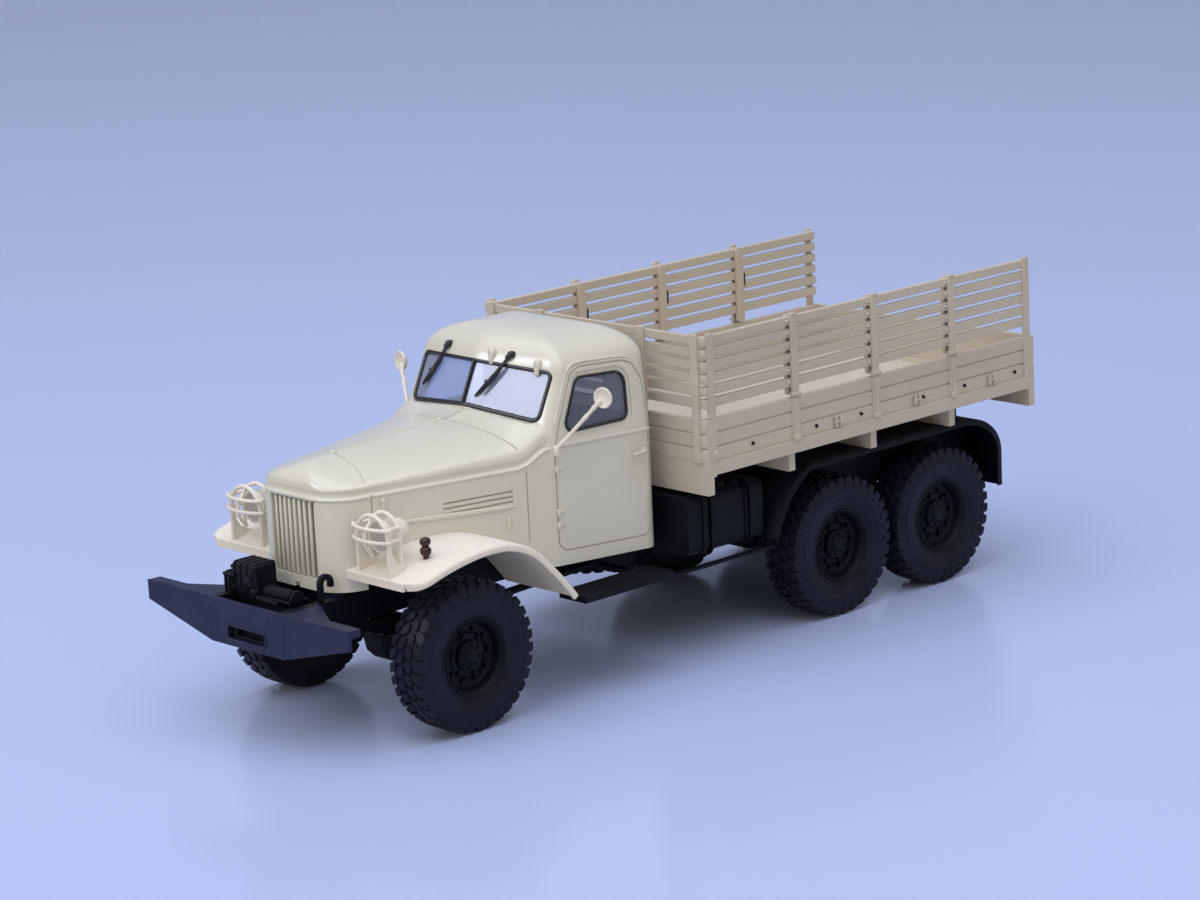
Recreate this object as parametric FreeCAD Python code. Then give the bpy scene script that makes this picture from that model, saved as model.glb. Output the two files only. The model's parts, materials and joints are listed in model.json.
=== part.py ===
# Scale model, 1:43, of a bonneted six-wheel-drive cargo truck with a front winch.
# Millimetres. X points forward, Y to the truck's left, Z up.
# The origin is on the ground under the middle of the truck's overall box.
import FreeCAD, Part
import math
import os
from FreeCAD import Vector

os.makedirs("parts", exist_ok=True)

# Overall places
front_axle_x = 53.5
wheelbase_to_middle = 85.2
tyre_radius = 12.4
bogie_tyre_gap = 1.3
bogie_spacing = 2 * tyre_radius + bogie_tyre_gap
middle_axle_x = front_axle_x - wheelbase_to_middle
rear_axle_x = middle_axle_x - bogie_spacing
bogie_x = (middle_axle_x + rear_axle_x) / 2
front_overhang = 27.0
front_end_x = front_axle_x + front_overhang
track_half = 20.4

# Small fits
running_gap = 0.05
seat_gap = 0.03

# Flats of the round forms
small_bar_radius = 1.2
large_bar_radius = 3.0
small_bar_sides = 8
bar_sides = 12
large_bar_sides = 16
corner_steps = 3

# Tyre and rim
tyre_width = 7.2
wheel_sides = 16
lug_count = 14
lug_share = 0.46
lug_half_width = 3.1
tread_base_radius = 11.6
shoulder_radius = 11.4
wall_high_radius = 10.3
wall_low_radius = 8.0
bead_half_width = 3.0
rim_radius = 6.0
rim_wall = 0.5
rim_lip = 0.35
disc_offset = 1.0
disc_thickness = 0.7
hub_radius = 2.5
hub_outer_reach = 2.5
hub_inner_reach = 1.4
hub_cap_wall = 0.5
spindle_radius = 1.0
axle_z = tyre_radius

# Axles and steering
axle_tube_radius = 1.6
diff_radius = 4.0
diff_width = 4.4
diff_taper = 1.8
pinion_nose_radius = 1.1
pinion_nose_length = 0.7
front_diff_y = 3.0
drum_radius = 4.4
drum_inner_y = 15.4
drum_gap = 0.3
kingpin_y = 14.6
kingpin_radius = 0.5
eye_radius = 1.5
eye_half_height = 2.3
yoke_gap = 0.2
yoke_plate = 0.8
yoke_half_width = 1.3
steer_drum_inner_y = 16.5
arm_length = 6.2
arm_half_width = 0.8
tie_pin_radius = 0.4
tie_eye_radius = 1.0
tie_eye_height = 0.9
tie_gap = 0.15
tie_rod_radius = 0.35

# Chassis frame
rail_top_z = 23.0
rail_height = 4.6
rail_low_z = rail_top_z - rail_height
rail_outer_y = 9.3
rail_flange = 1.6
rail_wall = 0.7
rail_rear_overhang = 20.2
rail_rear_x = rear_axle_x - rail_rear_overhang
cross_member_width = 1.6
cross_member_drop = 0.6
cross_member_height = 2.6
member_high_z = rail_top_z - cross_member_drop
member_low_z = member_high_z - cross_member_height
nose_member_back = 5.3
engine_member_ahead = 8.5
gearbox_member_behind = 22.5
tank_member_ahead = 17.7
tail_member_behind = 12.7
plinth_bore_radius = 1.25
plinth_boss_radius = 2.3
plinth_boss_height = 3.0
front_boss_behind = 29.5
plinth_boss_places = (front_axle_x - front_boss_behind, rear_axle_x - tail_member_behind)
cab_member_x = 8.5
cross_member_places = (front_end_x - nose_member_back, front_axle_x + engine_member_ahead,
                       front_axle_x - gearbox_member_behind, cab_member_x,
                       middle_axle_x + tank_member_ahead, bogie_x)
rear_member_width = 1.2

# Bumper, winch and hooks
bumper_web = 0.8
bumper_half_width = 25.3
bumper_top_z = 23.0
bumper_end_z = 19.8
bumper_low_z = 15.6
bumper_low_half_width = 9.0
bumper_flange = 1.3
bumper_flange_depth = 1.8
fairlead_half_width = 4.6
fairlead_height = 2.0
fairlead_below_top = 4.1
gusset_thickness = 0.6
gusset_depth = 7.0
gusset_reach = 11.7
winch_back = 5.6
winch_x = front_end_x - winch_back
winch_drum_rise = 2.3
winch_left_y = 7.0
winch_plate = 0.8
winch_plate_radius = 2.1
winch_drum_radius = 1.3
winch_rope_radius = 1.75
winch_rope_clearance = 0.7
winch_case_near_y = -0.6
winch_case_far_y = -11.8
winch_case_half_length = 2.4
winch_case_height = 5.4
winch_case_round = 0.9
winch_foot_thickness = 0.4
winch_foot_lap = 0.25
hook_bar = 0.9
hook_height = 4.4
hook_radius = 1.5
hook_tip = 0.8
front_hook_back = 8.2
front_hook_y = 8.5

# Engine and drive line
engine_length = 22.0
engine_front_ahead = 9.0
engine_front_x = front_axle_x + engine_front_ahead
engine_half_width = 4.4
engine_low_z = 19.2
engine_top_z = 33.5
engine_head_half_width = 2.6
engine_head_height = 3.0
engine_head_step = 1.0
gearbox_length = 14.0
gearbox_half_width = 3.0
gearbox_low_z = 18.6
gearbox_height = 4.0
transfer_behind = 5.0
transfer_x = cab_member_x - transfer_behind
transfer_length = 8.0
transfer_left_y = 5.6
transfer_right_y = -2.6
transfer_low_z = 12.6
transfer_shoulder = 4.0
transfer_chamfer = 2.0
transfer_hanger = 1.5
shaft_radius = 0.7
shaft_rise = 2.2
bogie_shaft_y = -0.3

# Springs and suspension
leaf_thickness = 0.55
leaf_width = 2.2
front_spring_y = 8.2
front_spring_half_length = 13.5
front_spring_rise = 1.2
front_leaf_count = 5
hanger_width = 1.6
hanger_overlap = 0.3
rear_spring_y = 12.2
rear_spring_half_length = 12.2
rear_spring_rise = 1.9
rear_leaf_count = 6
clamp_half_length = 1.6
clamp_wall = 0.3
clamp_reach = 0.5
trunnion_height = 1.5

# Exhaust, tank and spare wheel
exhaust_y = -12.4
exhaust_z = 17.8
exhaust_pipe_radius = 0.7
silencer_radius = 1.9
silencer_front_x = 25.9
silencer_rear_x = 14.1
front_pipe_x = 38.0
front_pipe_rise = 1.5
tail_pipe_length = 5.0
exhaust_strap_width = 1.2
exhaust_strap_thickness = 1.0
tank_front_x = 4.6
tank_rear_x = -13.2
tank_outer_y = 23.0
tank_inner_y = 12.6
tank_low_z = 17.8
tank_top_z = 28.0
tank_round = 1.6
tank_cap_behind = 13.0
tank_cap_inside = 2.6
tank_cap_radius = 1.3
tank_cap_height = 0.5
tank_strap_width = 1.2
tank_strap_thickness = 0.3
tank_strap_inset = 3.9
tank_bracket_height = 2.8
spare_x = -6.3
spare_y = -14.3
spare_gap = 0.15
spare_carrier_bar = 1.2
spare_carrier_half_width = 1.6
spare_carrier_reach = 8.0
spare_stub_depth = 0.5

# Running boards
board_front_x = 30.4
board_rear_x = 10.0
board_outer_y = 25.0
board_inner_y = 18.6
board_top_z = 17.3
board_thickness = 1.2
board_bracket_width = 1.4
board_bracket_inset = 3.2
board_bracket_lap = 1.0
board_bracket_step = 0.3
board_hanger_wall = 0.8
board_hanger_rise = 2.6
side_bar_rear_x = -13.5
side_bar_z = 16.6
side_bar_height = 0.5
side_bar_width = 1.2

# Cab
cab_rear_x = 6.3
cab_front_x = 34.9
cab_shoulder_x = 29.7
cab_half_width = 18.1
cab_wall = 0.9
cab_low_front_z = 21.5
cab_low_rear_z = 19.7
floor_low_z = 23.4
floor_thickness = 0.9
floor_top_of_cab_z = floor_low_z + floor_thickness
ridge_z = 38.7
belt_rise = 2.3
greenhouse_height = 11.0
belt_z = ridge_z + belt_rise
eave_z = belt_z + greenhouse_height
eave_lean = 1.1
eave_half_width = cab_half_width - eave_lean
cab_corner = 3.0
cab_front_corner = 2.0
cab_inner_corner = 0.5
screen_foot_x = 33.0
screen_foot_rise = 5.3
screen_foot_z = belt_z + screen_foot_rise
screen_lean = math.tan(math.radians(25.3))
screen_sweep = math.tan(math.radians(12.2))
screen_crown_round = 8.0
roof_rise = 6.3
roof_centre_x = 19.0
roof_steps = (0.25, 0.48, 0.68, 0.84, 0.94, 0.985)
roof_inner_steps = (0.5, 0.84, 0.96)
roof_fullness = 2.9
roof_crest = 2.0
tunnel_half_width = 11.5

# Bonnet
bonnet_step = 0.6
bonnet_rear_half_width = cab_half_width - bonnet_step
bonnet_middle_x = 51.5
nose_x = 69.6
nose_half_width = 9.6
nose_round = 6.1
nose_round_steps = 4
bonnet_low_z = 25.4
nose_low_z = 23.7
nose_skirt_x = 64.0
ridge_lip = 0.22
ridge_lip_height = 0.5
lid_edge_inset = 0.25
lid_edge_height = 1.6
lid_rear_rise = 6.5
lid_front_rise = 4.7
lid_rear_top_z = ridge_z + lid_rear_rise
lid_front_top_z = ridge_z + lid_front_rise
lid_front_depth = 5.5
lid_steps = (0.2, 0.42, 0.62, 0.8, 0.92, 0.985)
lid_inner_steps = (0.45, 0.85)
lid_rear_fullness = 2.05
lid_front_fullness = 1.2
bonnet_wall = 1.0
bonnet_overlap = 3.0

# Windows and seals
screen_side_margin = 2.3
screen_foot_drop = 1.6
screen_corner_top_rise = 0.9
screen_centre_top_rise = 1.8
screen_half_width = cab_half_width - screen_side_margin
screen_corner_low_z = screen_foot_z - screen_foot_drop
screen_corner_top_z = eave_z + screen_corner_top_rise
screen_centre_top_z = eave_z + screen_centre_top_rise
screen_round = 1.3
screen_inner_round = 0.8
seal_width = 0.7
seal_proud = 0.3
seal_depth = 0.7
post_half_width = 0.45
glass_thickness = 0.4
glass_inset = 0.1
side_window_front_x = (27.2, 23.0)
side_window_rear_x = (12.3, 12.0)
side_window_foot_rise = (1.7, 1.5)
side_window_top_drop = (0.5, 1.2)
side_window = ((side_window_front_x[0], belt_z + side_window_foot_rise[0]),
               (side_window_front_x[1], eave_z - side_window_top_drop[0]),
               (side_window_rear_x[1], eave_z - side_window_top_drop[1]),
               (side_window_rear_x[0], belt_z + side_window_foot_rise[1]))
side_window_rounds = (1.6, 1.7, 2.4, 1.6)
side_seal_width = 0.4
side_seal_depth = 0.6
side_seal_proud = 0.05
rear_window_half_width = 6.5
rear_window_foot_rise = 2.5
rear_window_top_drop = 2.0
rear_window_low_z = belt_z + rear_window_foot_rise
rear_window_high_z = eave_z - rear_window_top_drop
rear_window_round = 1.2

# Grille and front lamps
grille_half_width = 5.5
grille_low_z = 25.6
grille_top_drop = 1.1
grille_high_z = ridge_z - grille_top_drop
grille_bars = 9
grille_bar_width = 0.62
grille_bar_depth = 0.9
grille_recess = 0.15
grille_rail_step = 0.3
lamp_x = 65.2
lamp_y = 15.9
lamp_z = 33.4
lamp_radius = 2.7
lamp_length = 4.9
lamp_tail_radius = 2.2
lamp_wall = 0.4
lens_thickness = 0.5
lens_proud = 0.1
lamp_stalk_radius = 0.7
lamp_stalk_back = 1.6
guard_radius = 4.1
guard_x = 66.7
guard_bar = 0.45
guard_sides = 8
guard_rung_spacing = 1.9
marker_x = 59.8
marker_y = 20.4
marker_radius = 0.85
marker_stem = 0.5
marker_low_rise = 1.4
marker_high_rise = 2.8

# Fenders
fender_outer_y = 26.6
fender_skin = 0.8
fender_gap = 0.06
fender_front_round = 3.0
fender_inner_y = 9.6
fender_crown = ((67.2, 27.4), (60.5, 29.3), (53.5, 30.4), (47.5, 30.2), (42.0, 28.0),
                (37.5, 23.8), (34.9, 20.9), (33.2, 18.8))
fender_steps = 11
fender_edge_drop = 1.3

# Cab fittings
seat_front_x = 19.0
seat_rear_x = 9.6
seat_side_gap = 3.1
seat_half_width = cab_half_width - seat_side_gap
seat_low_z = 26.2
seat_top_z = 30.6
seat_base_inset = 0.8
back_thickness = 2.4
seat_back_rise = 1.0
back_top_z = belt_z + seat_back_rise
dash_front_x = 30.4
dash_depth = 2.2
dash_low_drop = 2.8
dash_rise = 1.6
dash_low_z = belt_z - dash_low_drop
dash_top_z = belt_z + dash_rise
dash_slope = 0.6
dash_side_gap = 2.5
dash_half_width = cab_half_width - dash_side_gap
dash_bracket = 1.2
wheel_y = 8.0
wheel_ring_radius = 4.6
wheel_ring_bar = 0.5
wheel_ring_sides = 16
wheel_hub_radius = 0.9
wheel_tilt = 30.0
wheel_centre_x = 24.4
steering_wheel_drop = 0.8
wheel_centre_z = belt_z - steering_wheel_drop
column_radius = 0.5
column_length = 13.5
wiper_pivots_y = (7.4, -8.2)
wiper_slant = 4.6
wiper_pivot_rise = 0.8
wiper_top_z = screen_centre_top_z + wiper_pivot_rise
wiper_height = 6.4
wiper_bar = 0.35
wiper_pivot_width = 1.0
wiper_pivot_height = 0.8
mirror_head_x = 24.5
mirror_reach = 7.1
mirror_head_drop = 2.7
mirror_foot_x = 29.0
mirror_foot_drop = 0.4
mirror_head = (mirror_head_x, cab_half_width + mirror_reach, eave_z - mirror_head_drop)
mirror_foot = (mirror_foot_x, belt_z - mirror_foot_drop)
mirror_radius = 1.7
mirror_thickness = 0.8
mirror_arm_radius = 0.32
mirror_base_radius = 0.8
mirror_base_height = 0.7

# Cargo bed
bed_front_x = 3.4
bed_rear_overhang = 22.2
bed_rear_x = rear_axle_x - bed_rear_overhang
bed_half_width = 26.9
bed_board = 0.9
bed_board_lap = 0.2
floor_top_z = 33.3
bed_floor_thickness = 1.2
beam_low_z = 28.8
beam_width = 1.5
beam_end_inset = 1.1
beam_count = 3
bed_rail_height = 1.0
bed_rail_top_z = floor_top_z + bed_rail_height
post_proud = 0.5
side_boards_height = 7.3
side_top_z = bed_rail_top_z + side_boards_height
side_board_count = 3
board_groove = 0.25
lattice_gap = 1.9
lattice_low_z = side_top_z + lattice_gap
slat_count = 6
slat_height = 1.5
slat_pitch = 2.12
lattice_post_width = 1.6
lattice_post_rise = 0.5
lattice_post_count = 5
head_post_inset = 2.0
head_post_spacing = 12.3
head_slat_step = 0.2
sill_half_gap = 7.7
sill_width = 1.7
tail_strap_count = 4
tail_strap_spacing = 13.0
tail_strap_width = 1.4
tail_strap_proud = 0.5
tail_strap_rise = 1.0
rear_end_x = bed_rear_x - tail_strap_proud

# Mudguards and tail lamps
mudguard_inner_y = 16.6
mudguard_outer_y = 24.6
mudguard_skin = 0.6
mudguard_radius = 18.3
mudguard_steps = 6
mudguard_front_low_z = 17.4
mudguard_rear_reach = 15.6
mudguard_rear_low_z = 15.0
tail_lamp_inset = 4.5
tail_lamp_z = 30.4
tail_lamp_radius = 1.1
tail_lamp_depth = 0.4
tow_hook_z = 20.7

# Half sizes of the blocks that only cut
wide = 60.0


def box(x0, x1, y0, y1, z0, z1):
    """Block between two planes along each axis."""
    return Part.makeBox(x1 - x0, y1 - y0, z1 - z0, Vector(x0, y0, z0))


def ring_points(centre, along, radius, sides):
    """Corners of a many-sided outline square to a direction."""
    direction = Vector(along).normalize()
    down = Vector(0, 0, -1) if abs(direction.z) < 0.9 else Vector(1, 0, 0)
    first = (down - direction * down.dot(direction)).normalize()
    second = direction.cross(first)
    angles = [2 * math.pi * index / sides for index in range(sides)]
    return [centre + first * (radius * math.cos(angle)) + second * (radius * math.sin(angle))
            for angle in angles]


def flats(radius):
    """Count of flats of a round form of a radius."""
    if radius < small_bar_radius:
        return small_bar_sides
    return bar_sides if radius < large_bar_radius else large_bar_sides


def rod(start, end, radius):
    """Round bar drawn with flats, from one point to another."""
    start = Vector(*start)
    along = Vector(*end) - start
    ring = ring_points(start, along, radius, flats(radius))
    return Part.Face(Part.makePolygon(ring + [ring[0]])).extrude(along)


def pin(start, end, radius):
    """Truly round bar, for shafts and bores that turn."""
    start = Vector(*start)
    along = Vector(*end) - start
    return Part.makeCylinder(radius, along.Length, start, along)


def rounded_points(corners, radii, steps=corner_steps):
    """Closed outline through the corners, each rounded to its own radius by short flats."""
    if not isinstance(radii, (list, tuple)):
        radii = [radii] * len(corners)
    points = []
    for index, corner in enumerate(corners):
        radius = radii[index]
        if radius <= 0:
            points.append(corner)
            continue
        before = (corners[index - 1] - corner).normalize()
        after = (corners[(index + 1) % len(corners)] - corner).normalize()
        half = before.getAngle(after) / 2
        centre = corner + (before + after).normalize() * (radius / math.sin(half))
        entry = corner + before * (radius / math.tan(half)) - centre
        leave = corner + after * (radius / math.tan(half)) - centre
        turn = entry.getAngle(leave)
        for step in range(steps + 1):
            share = step / steps
            near = math.sin((1 - share) * turn) / math.sin(turn)
            far = math.sin(share * turn) / math.sin(turn)
            points.append(centre + entry * near + leave * far)
    return points


def face_of(points):
    """Flat face inside a closed row of points."""
    return Part.Face(Part.makePolygon(points + [points[0]]))


def plate_along_y(outline, y0, y1, radii=0):
    """Plate with an (x, z) outline, between two y planes."""
    points = rounded_points([Vector(x, y0, z) for x, z in outline], radii)
    return face_of(points).extrude(Vector(0, y1 - y0, 0))


def plate_along_x(outline, x0, x1, radii=0):
    """Plate with a (y, z) outline, between two x planes."""
    points = rounded_points([Vector(x0, y, z) for y, z in outline], radii)
    return face_of(points).extrude(Vector(x1 - x0, 0, 0))


def plate_along_z(outline, z0, z1, radii=0):
    """Plate with an (x, y) outline, between two z planes."""
    points = rounded_points([Vector(x, y, z0) for x, y in outline], radii)
    return face_of(points).extrude(Vector(0, 0, z1 - z0))


def flat_sided(rings):
    """Solid with flat faces through a row of closed rings that have the same count of corners."""
    faces = [face_of(ring) for ring in (rings[0], rings[-1])]
    flat_within = 1e-5
    for near, far in zip(rings[:-1], rings[1:]):
        for index in range(len(near)):
            after = (index + 1) % len(near)
            a, b, c, d = near[index], near[after], far[after], far[index]
            normal = (b - a).cross(c - a)
            lift = abs(normal.dot(d - a)) / max(normal.Length, flat_within)
            if lift < flat_within:
                faces.append(face_of([a, b, c, d]))
            else:
                faces.append(face_of([a, b, c]))
                faces.append(face_of([a, c, d]))
    solid = Part.makeSolid(Part.makeShell(faces))
    if solid.Volume < 0:
        solid.reverse()
    return solid


def turned(stations, sides):
    """Many-sided turned body about the Y axis through (y, radius) stations."""
    return flat_sided([ring_points(Vector(0, y, 0), Vector(0, 1, 0), radius, sides)
                       for y, radius in stations])


def joined(*shapes):
    """One solid from pieces that meet."""
    first, rest = shapes[0], list(shapes[1:])
    return first.multiFuse(rest).removeSplitter() if rest else first


def mirrored(shape):
    """The same piece on the truck's other side."""
    return shape.mirror(Vector(0, 0, 0), Vector(0, 1, 0))


def moved(shape, x=0.0, y=0.0, z=0.0):
    """A copy shifted by the given amounts."""
    copy = shape.copy()
    copy.translate(Vector(x, y, z))
    return copy


def write(node, *shapes):
    """One STEP file holding the solids of a sub-part."""
    solids = [solid for shape in shapes for solid in shape.Solids]
    Part.makeCompound(solids).exportStep("parts/" + node + ".step")


# Wheels


def lug_row(side):
    """One row of tread lugs on a half of the tyre, with the grooves between them."""
    pitch = 2 * math.pi / lug_count
    half = pitch * lug_share / 2
    top = tyre_radius / math.cos(half)
    base = tread_base_radius
    shift = 0 if side > 0 else pitch / 2
    outline = []
    for index in range(lug_count):
        middle = index * pitch + shift
        for angle, radius in ((middle - half, base), (middle - half, top),
                              (middle + half, top), (middle + half, base)):
            outline.append(Vector(radius * math.sin(angle), 0, -radius * math.cos(angle)))
    return face_of(outline).extrude(Vector(0, side * lug_half_width, 0))


def tyre():
    """Cross-country tyre about the Y axis, its two rows of lugs half a pitch apart."""
    half = tyre_width / 2
    bore_radius = rim_radius + seat_gap
    right_half = [(bead_half_width, bore_radius), (half, wall_low_radius),
                  (half, wall_high_radius), (lug_half_width, shoulder_radius)]
    left_half = [(-y, radius) for y, radius in right_half]
    carcass = turned(left_half + right_half[::-1], wheel_sides)
    bore = turned([(-half, bore_radius), (half, bore_radius)], wheel_sides)
    return joined(carcass, lug_row(1), lug_row(-1)).cut(bore)


def rim():
    """Disc wheel about the Y axis, hub bore open towards the truck."""
    edge_y = bead_half_width + rim_lip
    well_radius = rim_radius - rim_wall
    reach = 2 * edge_y
    body = turned([(-edge_y, rim_radius), (edge_y, rim_radius)], wheel_sides)
    body = body.cut(turned([(disc_offset, well_radius), (reach, well_radius)], wheel_sides))
    body = body.cut(turned([(-reach, well_radius), (disc_offset - disc_thickness, well_radius)],
                           wheel_sides))
    hub = rod((0, -hub_inner_reach, 0), (0, hub_outer_reach, 0), hub_radius)
    bore_end = hub_outer_reach - hub_cap_wall
    return joined(body, hub).cut(pin((0, -reach, 0), (0, bore_end, 0),
                                     spindle_radius + running_gap))


def placed_wheel(piece, x, side):
    """A wheel piece moved to its axle end, side +1 for left and -1 for right."""
    placed = piece if side > 0 else mirrored(piece)
    return moved(placed, x, side * track_half, axle_z)


def spindle_end_y():
    """Outer end of every spindle, short of the hub cap."""
    return track_half + hub_outer_reach - hub_cap_wall - drum_gap


def drum_outer_y():
    """Outer face of every brake drum, short of the hub."""
    return track_half - hub_inner_reach - drum_gap


# Axles


def diff_housing(x, y, nose_side, nose_y, nose_z):
    """Round differential casing on an axle, its pinion nose ahead (+1) or behind (-1)."""
    bulge = diff_width / 2
    taper_end = diff_taper * bulge
    stations = [(-taper_end, axle_tube_radius), (-bulge, diff_radius), (bulge, diff_radius),
                (taper_end, axle_tube_radius)]
    body = moved(turned(stations, bar_sides), x, y, axle_z)
    nose = rod((x, nose_y, nose_z), (pinion_face_x(x, nose_side), nose_y, nose_z),
               pinion_nose_radius)
    return joined(body, nose)


def pinion_face_x(x, side):
    """Face of a differential's pinion nose, where its shaft ends."""
    return x + side * (diff_radius + pinion_nose_length)


def front_nose_z():
    """Height of the noses that face the transfer box."""
    return axle_z + shaft_radius


def driven_axle(x):
    """Rear axle with its drums and spindles."""
    tube = rod((x, -drum_inner_y, axle_z), (x, drum_inner_y, axle_z), axle_tube_radius)
    spindle = pin((x, drum_inner_y, axle_z), (x, spindle_end_y(), axle_z), spindle_radius)
    drum = rod((x, drum_inner_y, axle_z), (x, drum_outer_y(), axle_z), drum_radius)
    end = joined(drum, spindle)
    if x == middle_axle_x:
        housing = joined(diff_housing(x, 0, 1, bogie_shaft_y, front_nose_z()),
                         diff_housing(x, 0, -1, 0, axle_z))
    else:
        housing = diff_housing(x, 0, 1, 0, axle_z)
    return joined(tube, housing, end, mirrored(end))


def steered_axle():
    """Front axle with a kingpin eye at each end."""
    x = front_axle_x
    tube = rod((x, -kingpin_y, axle_z), (x, kingpin_y, axle_z), axle_tube_radius)
    eye = rod((x, kingpin_y, axle_z - eye_half_height), (x, kingpin_y, axle_z + eye_half_height),
              eye_radius)
    housing = diff_housing(x, front_diff_y, -1, front_diff_y, front_nose_z())
    body = joined(tube, housing, eye, mirrored(eye))
    bore_radius = kingpin_radius + running_gap
    reach = 2 * eye_half_height
    bore = pin((x, kingpin_y, axle_z - reach), (x, kingpin_y, axle_z + reach), bore_radius)
    return body.cut(bore).cut(mirrored(bore))


def arm_pin_x():
    """Place of the tie rod's pins behind the front axle."""
    return front_axle_x - arm_length


def yoke_low_z():
    """Top of the knuckle's lower plate."""
    return axle_z - eye_half_height - yoke_gap


def knuckle():
    """Left steering knuckle: yoke, kingpin, drum, spindle and steering arm."""
    x = front_axle_x
    high = axle_z + eye_half_height + yoke_gap
    low = yoke_low_z()
    inner_y = kingpin_y - eye_radius
    drum = rod((x, steer_drum_inner_y, axle_z), (x, drum_outer_y(), axle_z), drum_radius)
    spindle = pin((x, steer_drum_inner_y, axle_z), (x, spindle_end_y(), axle_z), spindle_radius)
    upper = box(x - yoke_half_width, x + yoke_half_width, inner_y, drum_outer_y(),
                high, high + yoke_plate)
    lower = box(x - yoke_half_width, x + yoke_half_width, inner_y, drum_outer_y(),
                low - yoke_plate, low)
    kingpin = pin((x, kingpin_y, low - yoke_plate), (x, kingpin_y, high + yoke_plate),
                  kingpin_radius)
    pin_x = arm_pin_x()
    arm = box(pin_x - arm_half_width, x, kingpin_y - arm_half_width, kingpin_y + arm_half_width,
              low - yoke_plate, low)
    pin_low = low - yoke_plate - tie_eye_height - 2 * tie_gap
    tie_pin = pin((pin_x, kingpin_y, pin_low), (pin_x, kingpin_y, low), tie_pin_radius)
    return joined(drum, spindle, upper, lower, kingpin, arm, tie_pin)


def tie_rod():
    """Rod that joins the two steering arms, with an eye at each end."""
    x = arm_pin_x()
    top = yoke_low_z() - yoke_plate - tie_gap
    middle_z = top - tie_eye_height / 2
    bar = rod((x, -kingpin_y, middle_z), (x, kingpin_y, middle_z), tie_rod_radius)
    eye = rod((x, kingpin_y, top - tie_eye_height), (x, kingpin_y, top), tie_eye_radius)
    body = joined(bar, eye, mirrored(eye))
    hole = pin((x, kingpin_y, top - 2 * tie_eye_height), (x, kingpin_y, top + tie_eye_height),
               tie_pin_radius + running_gap)
    return body.cut(hole).cut(mirrored(hole))


# Chassis


def bumper_back_x():
    """Rear face of the bumper's web, where the frame rails end."""
    return front_end_x - bumper_web


def frame_rail():
    """Left rail, a channel open to the middle of the truck."""
    rail = box(rail_rear_x, bumper_back_x(), rail_outer_y - rail_flange, rail_outer_y,
               rail_low_z, rail_top_z)
    groove = box(rail_rear_x, bumper_back_x(), rail_outer_y - rail_flange,
                 rail_outer_y - rail_wall, rail_low_z + rail_wall, rail_top_z - rail_wall)
    return rail.cut(groove)


def chassis_frame():
    """Ladder frame with the two bored bosses that take a display plinth's screws."""
    half = cross_member_width / 2
    inner_y = rail_outer_y - rail_wall
    members = [box(x - half, x + half, -inner_y, inner_y, member_low_z, member_high_z)
               for x in cross_member_places + plinth_boss_places]
    members.append(box(rail_rear_x, rail_rear_x + rear_member_width, -inner_y, inner_y,
                       rail_low_z, rail_top_z))
    rail = frame_rail()
    top = member_low_z + plinth_boss_height
    bosses = [rod((x, 0, member_low_z), (x, 0, top), plinth_boss_radius)
              for x in plinth_boss_places]
    frame = joined(rail, mirrored(rail), *(members + bosses))
    for x in plinth_boss_places:
        frame = frame.cut(pin((x, 0, member_low_z - plinth_boss_height),
                              (x, 0, top + plinth_boss_height), plinth_bore_radius))
    return frame


def front_bumper():
    """Channel bumper, deeper in the middle, with the winch rope's slot and two gussets."""
    outline = [(-bumper_half_width, bumper_top_z), (bumper_half_width, bumper_top_z),
               (bumper_half_width, bumper_end_z), (bumper_low_half_width, bumper_low_z),
               (-bumper_low_half_width, bumper_low_z), (-bumper_half_width, bumper_end_z)]
    back = bumper_back_x()
    web = plate_along_x(outline, back, front_end_x)
    slot_top = bumper_top_z - fairlead_below_top
    slot = box(back - bumper_web, front_end_x + bumper_web, -fairlead_half_width,
               fairlead_half_width, slot_top - fairlead_height, slot_top)
    pieces = [web.cut(slot)]
    for side in (-1, 1):
        near = side * rail_outer_y
        far = side * bumper_half_width
        pieces.append(box(back - bumper_flange_depth, back, min(near, far), max(near, far),
                          bumper_top_z - bumper_flange, bumper_top_z))
        gusset = [(back, near), (back, near + side * gusset_reach), (back - gusset_depth, near)]
        pieces.append(plate_along_z(gusset, bumper_top_z - gusset_thickness, bumper_top_z))
    return joined(*pieces)


def winch():
    """Rope drum between an end plate and the worm gear case, on a foot across the rails."""
    axis_z = rail_top_z + winch_drum_rise
    foot_top = rail_top_z + winch_foot_thickness
    front, back = winch_x + winch_plate_radius, winch_x - winch_plate_radius
    plate_y = winch_left_y - winch_plate
    drum = rod((winch_x, winch_case_near_y, axis_z), (winch_x, winch_left_y, axis_z),
               winch_drum_radius)
    rope = rod((winch_x, winch_case_near_y + winch_rope_clearance, axis_z),
               (winch_x, plate_y - winch_rope_clearance, axis_z), winch_rope_radius)
    plate = joined(rod((winch_x, plate_y, axis_z), (winch_x, winch_left_y, axis_z),
                       winch_plate_radius),
                   box(back, front, plate_y, winch_left_y, rail_top_z, axis_z))
    case_front, case_back = winch_x + winch_case_half_length, winch_x - winch_case_half_length
    case_top = rail_top_z + winch_case_height
    case = plate_along_y([(case_back, rail_top_z), (case_front, rail_top_z),
                          (case_front, case_top), (case_back, case_top)],
                         winch_case_far_y, winch_case_near_y, [0, 0, winch_case_round,
                                                               winch_case_round])
    rail_inner_y = rail_outer_y - rail_flange
    foot = box(back, front, winch_case_far_y, rail_inner_y + winch_foot_lap, rail_top_z, foot_top)
    return joined(drum, rope, plate, case, foot)


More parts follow.
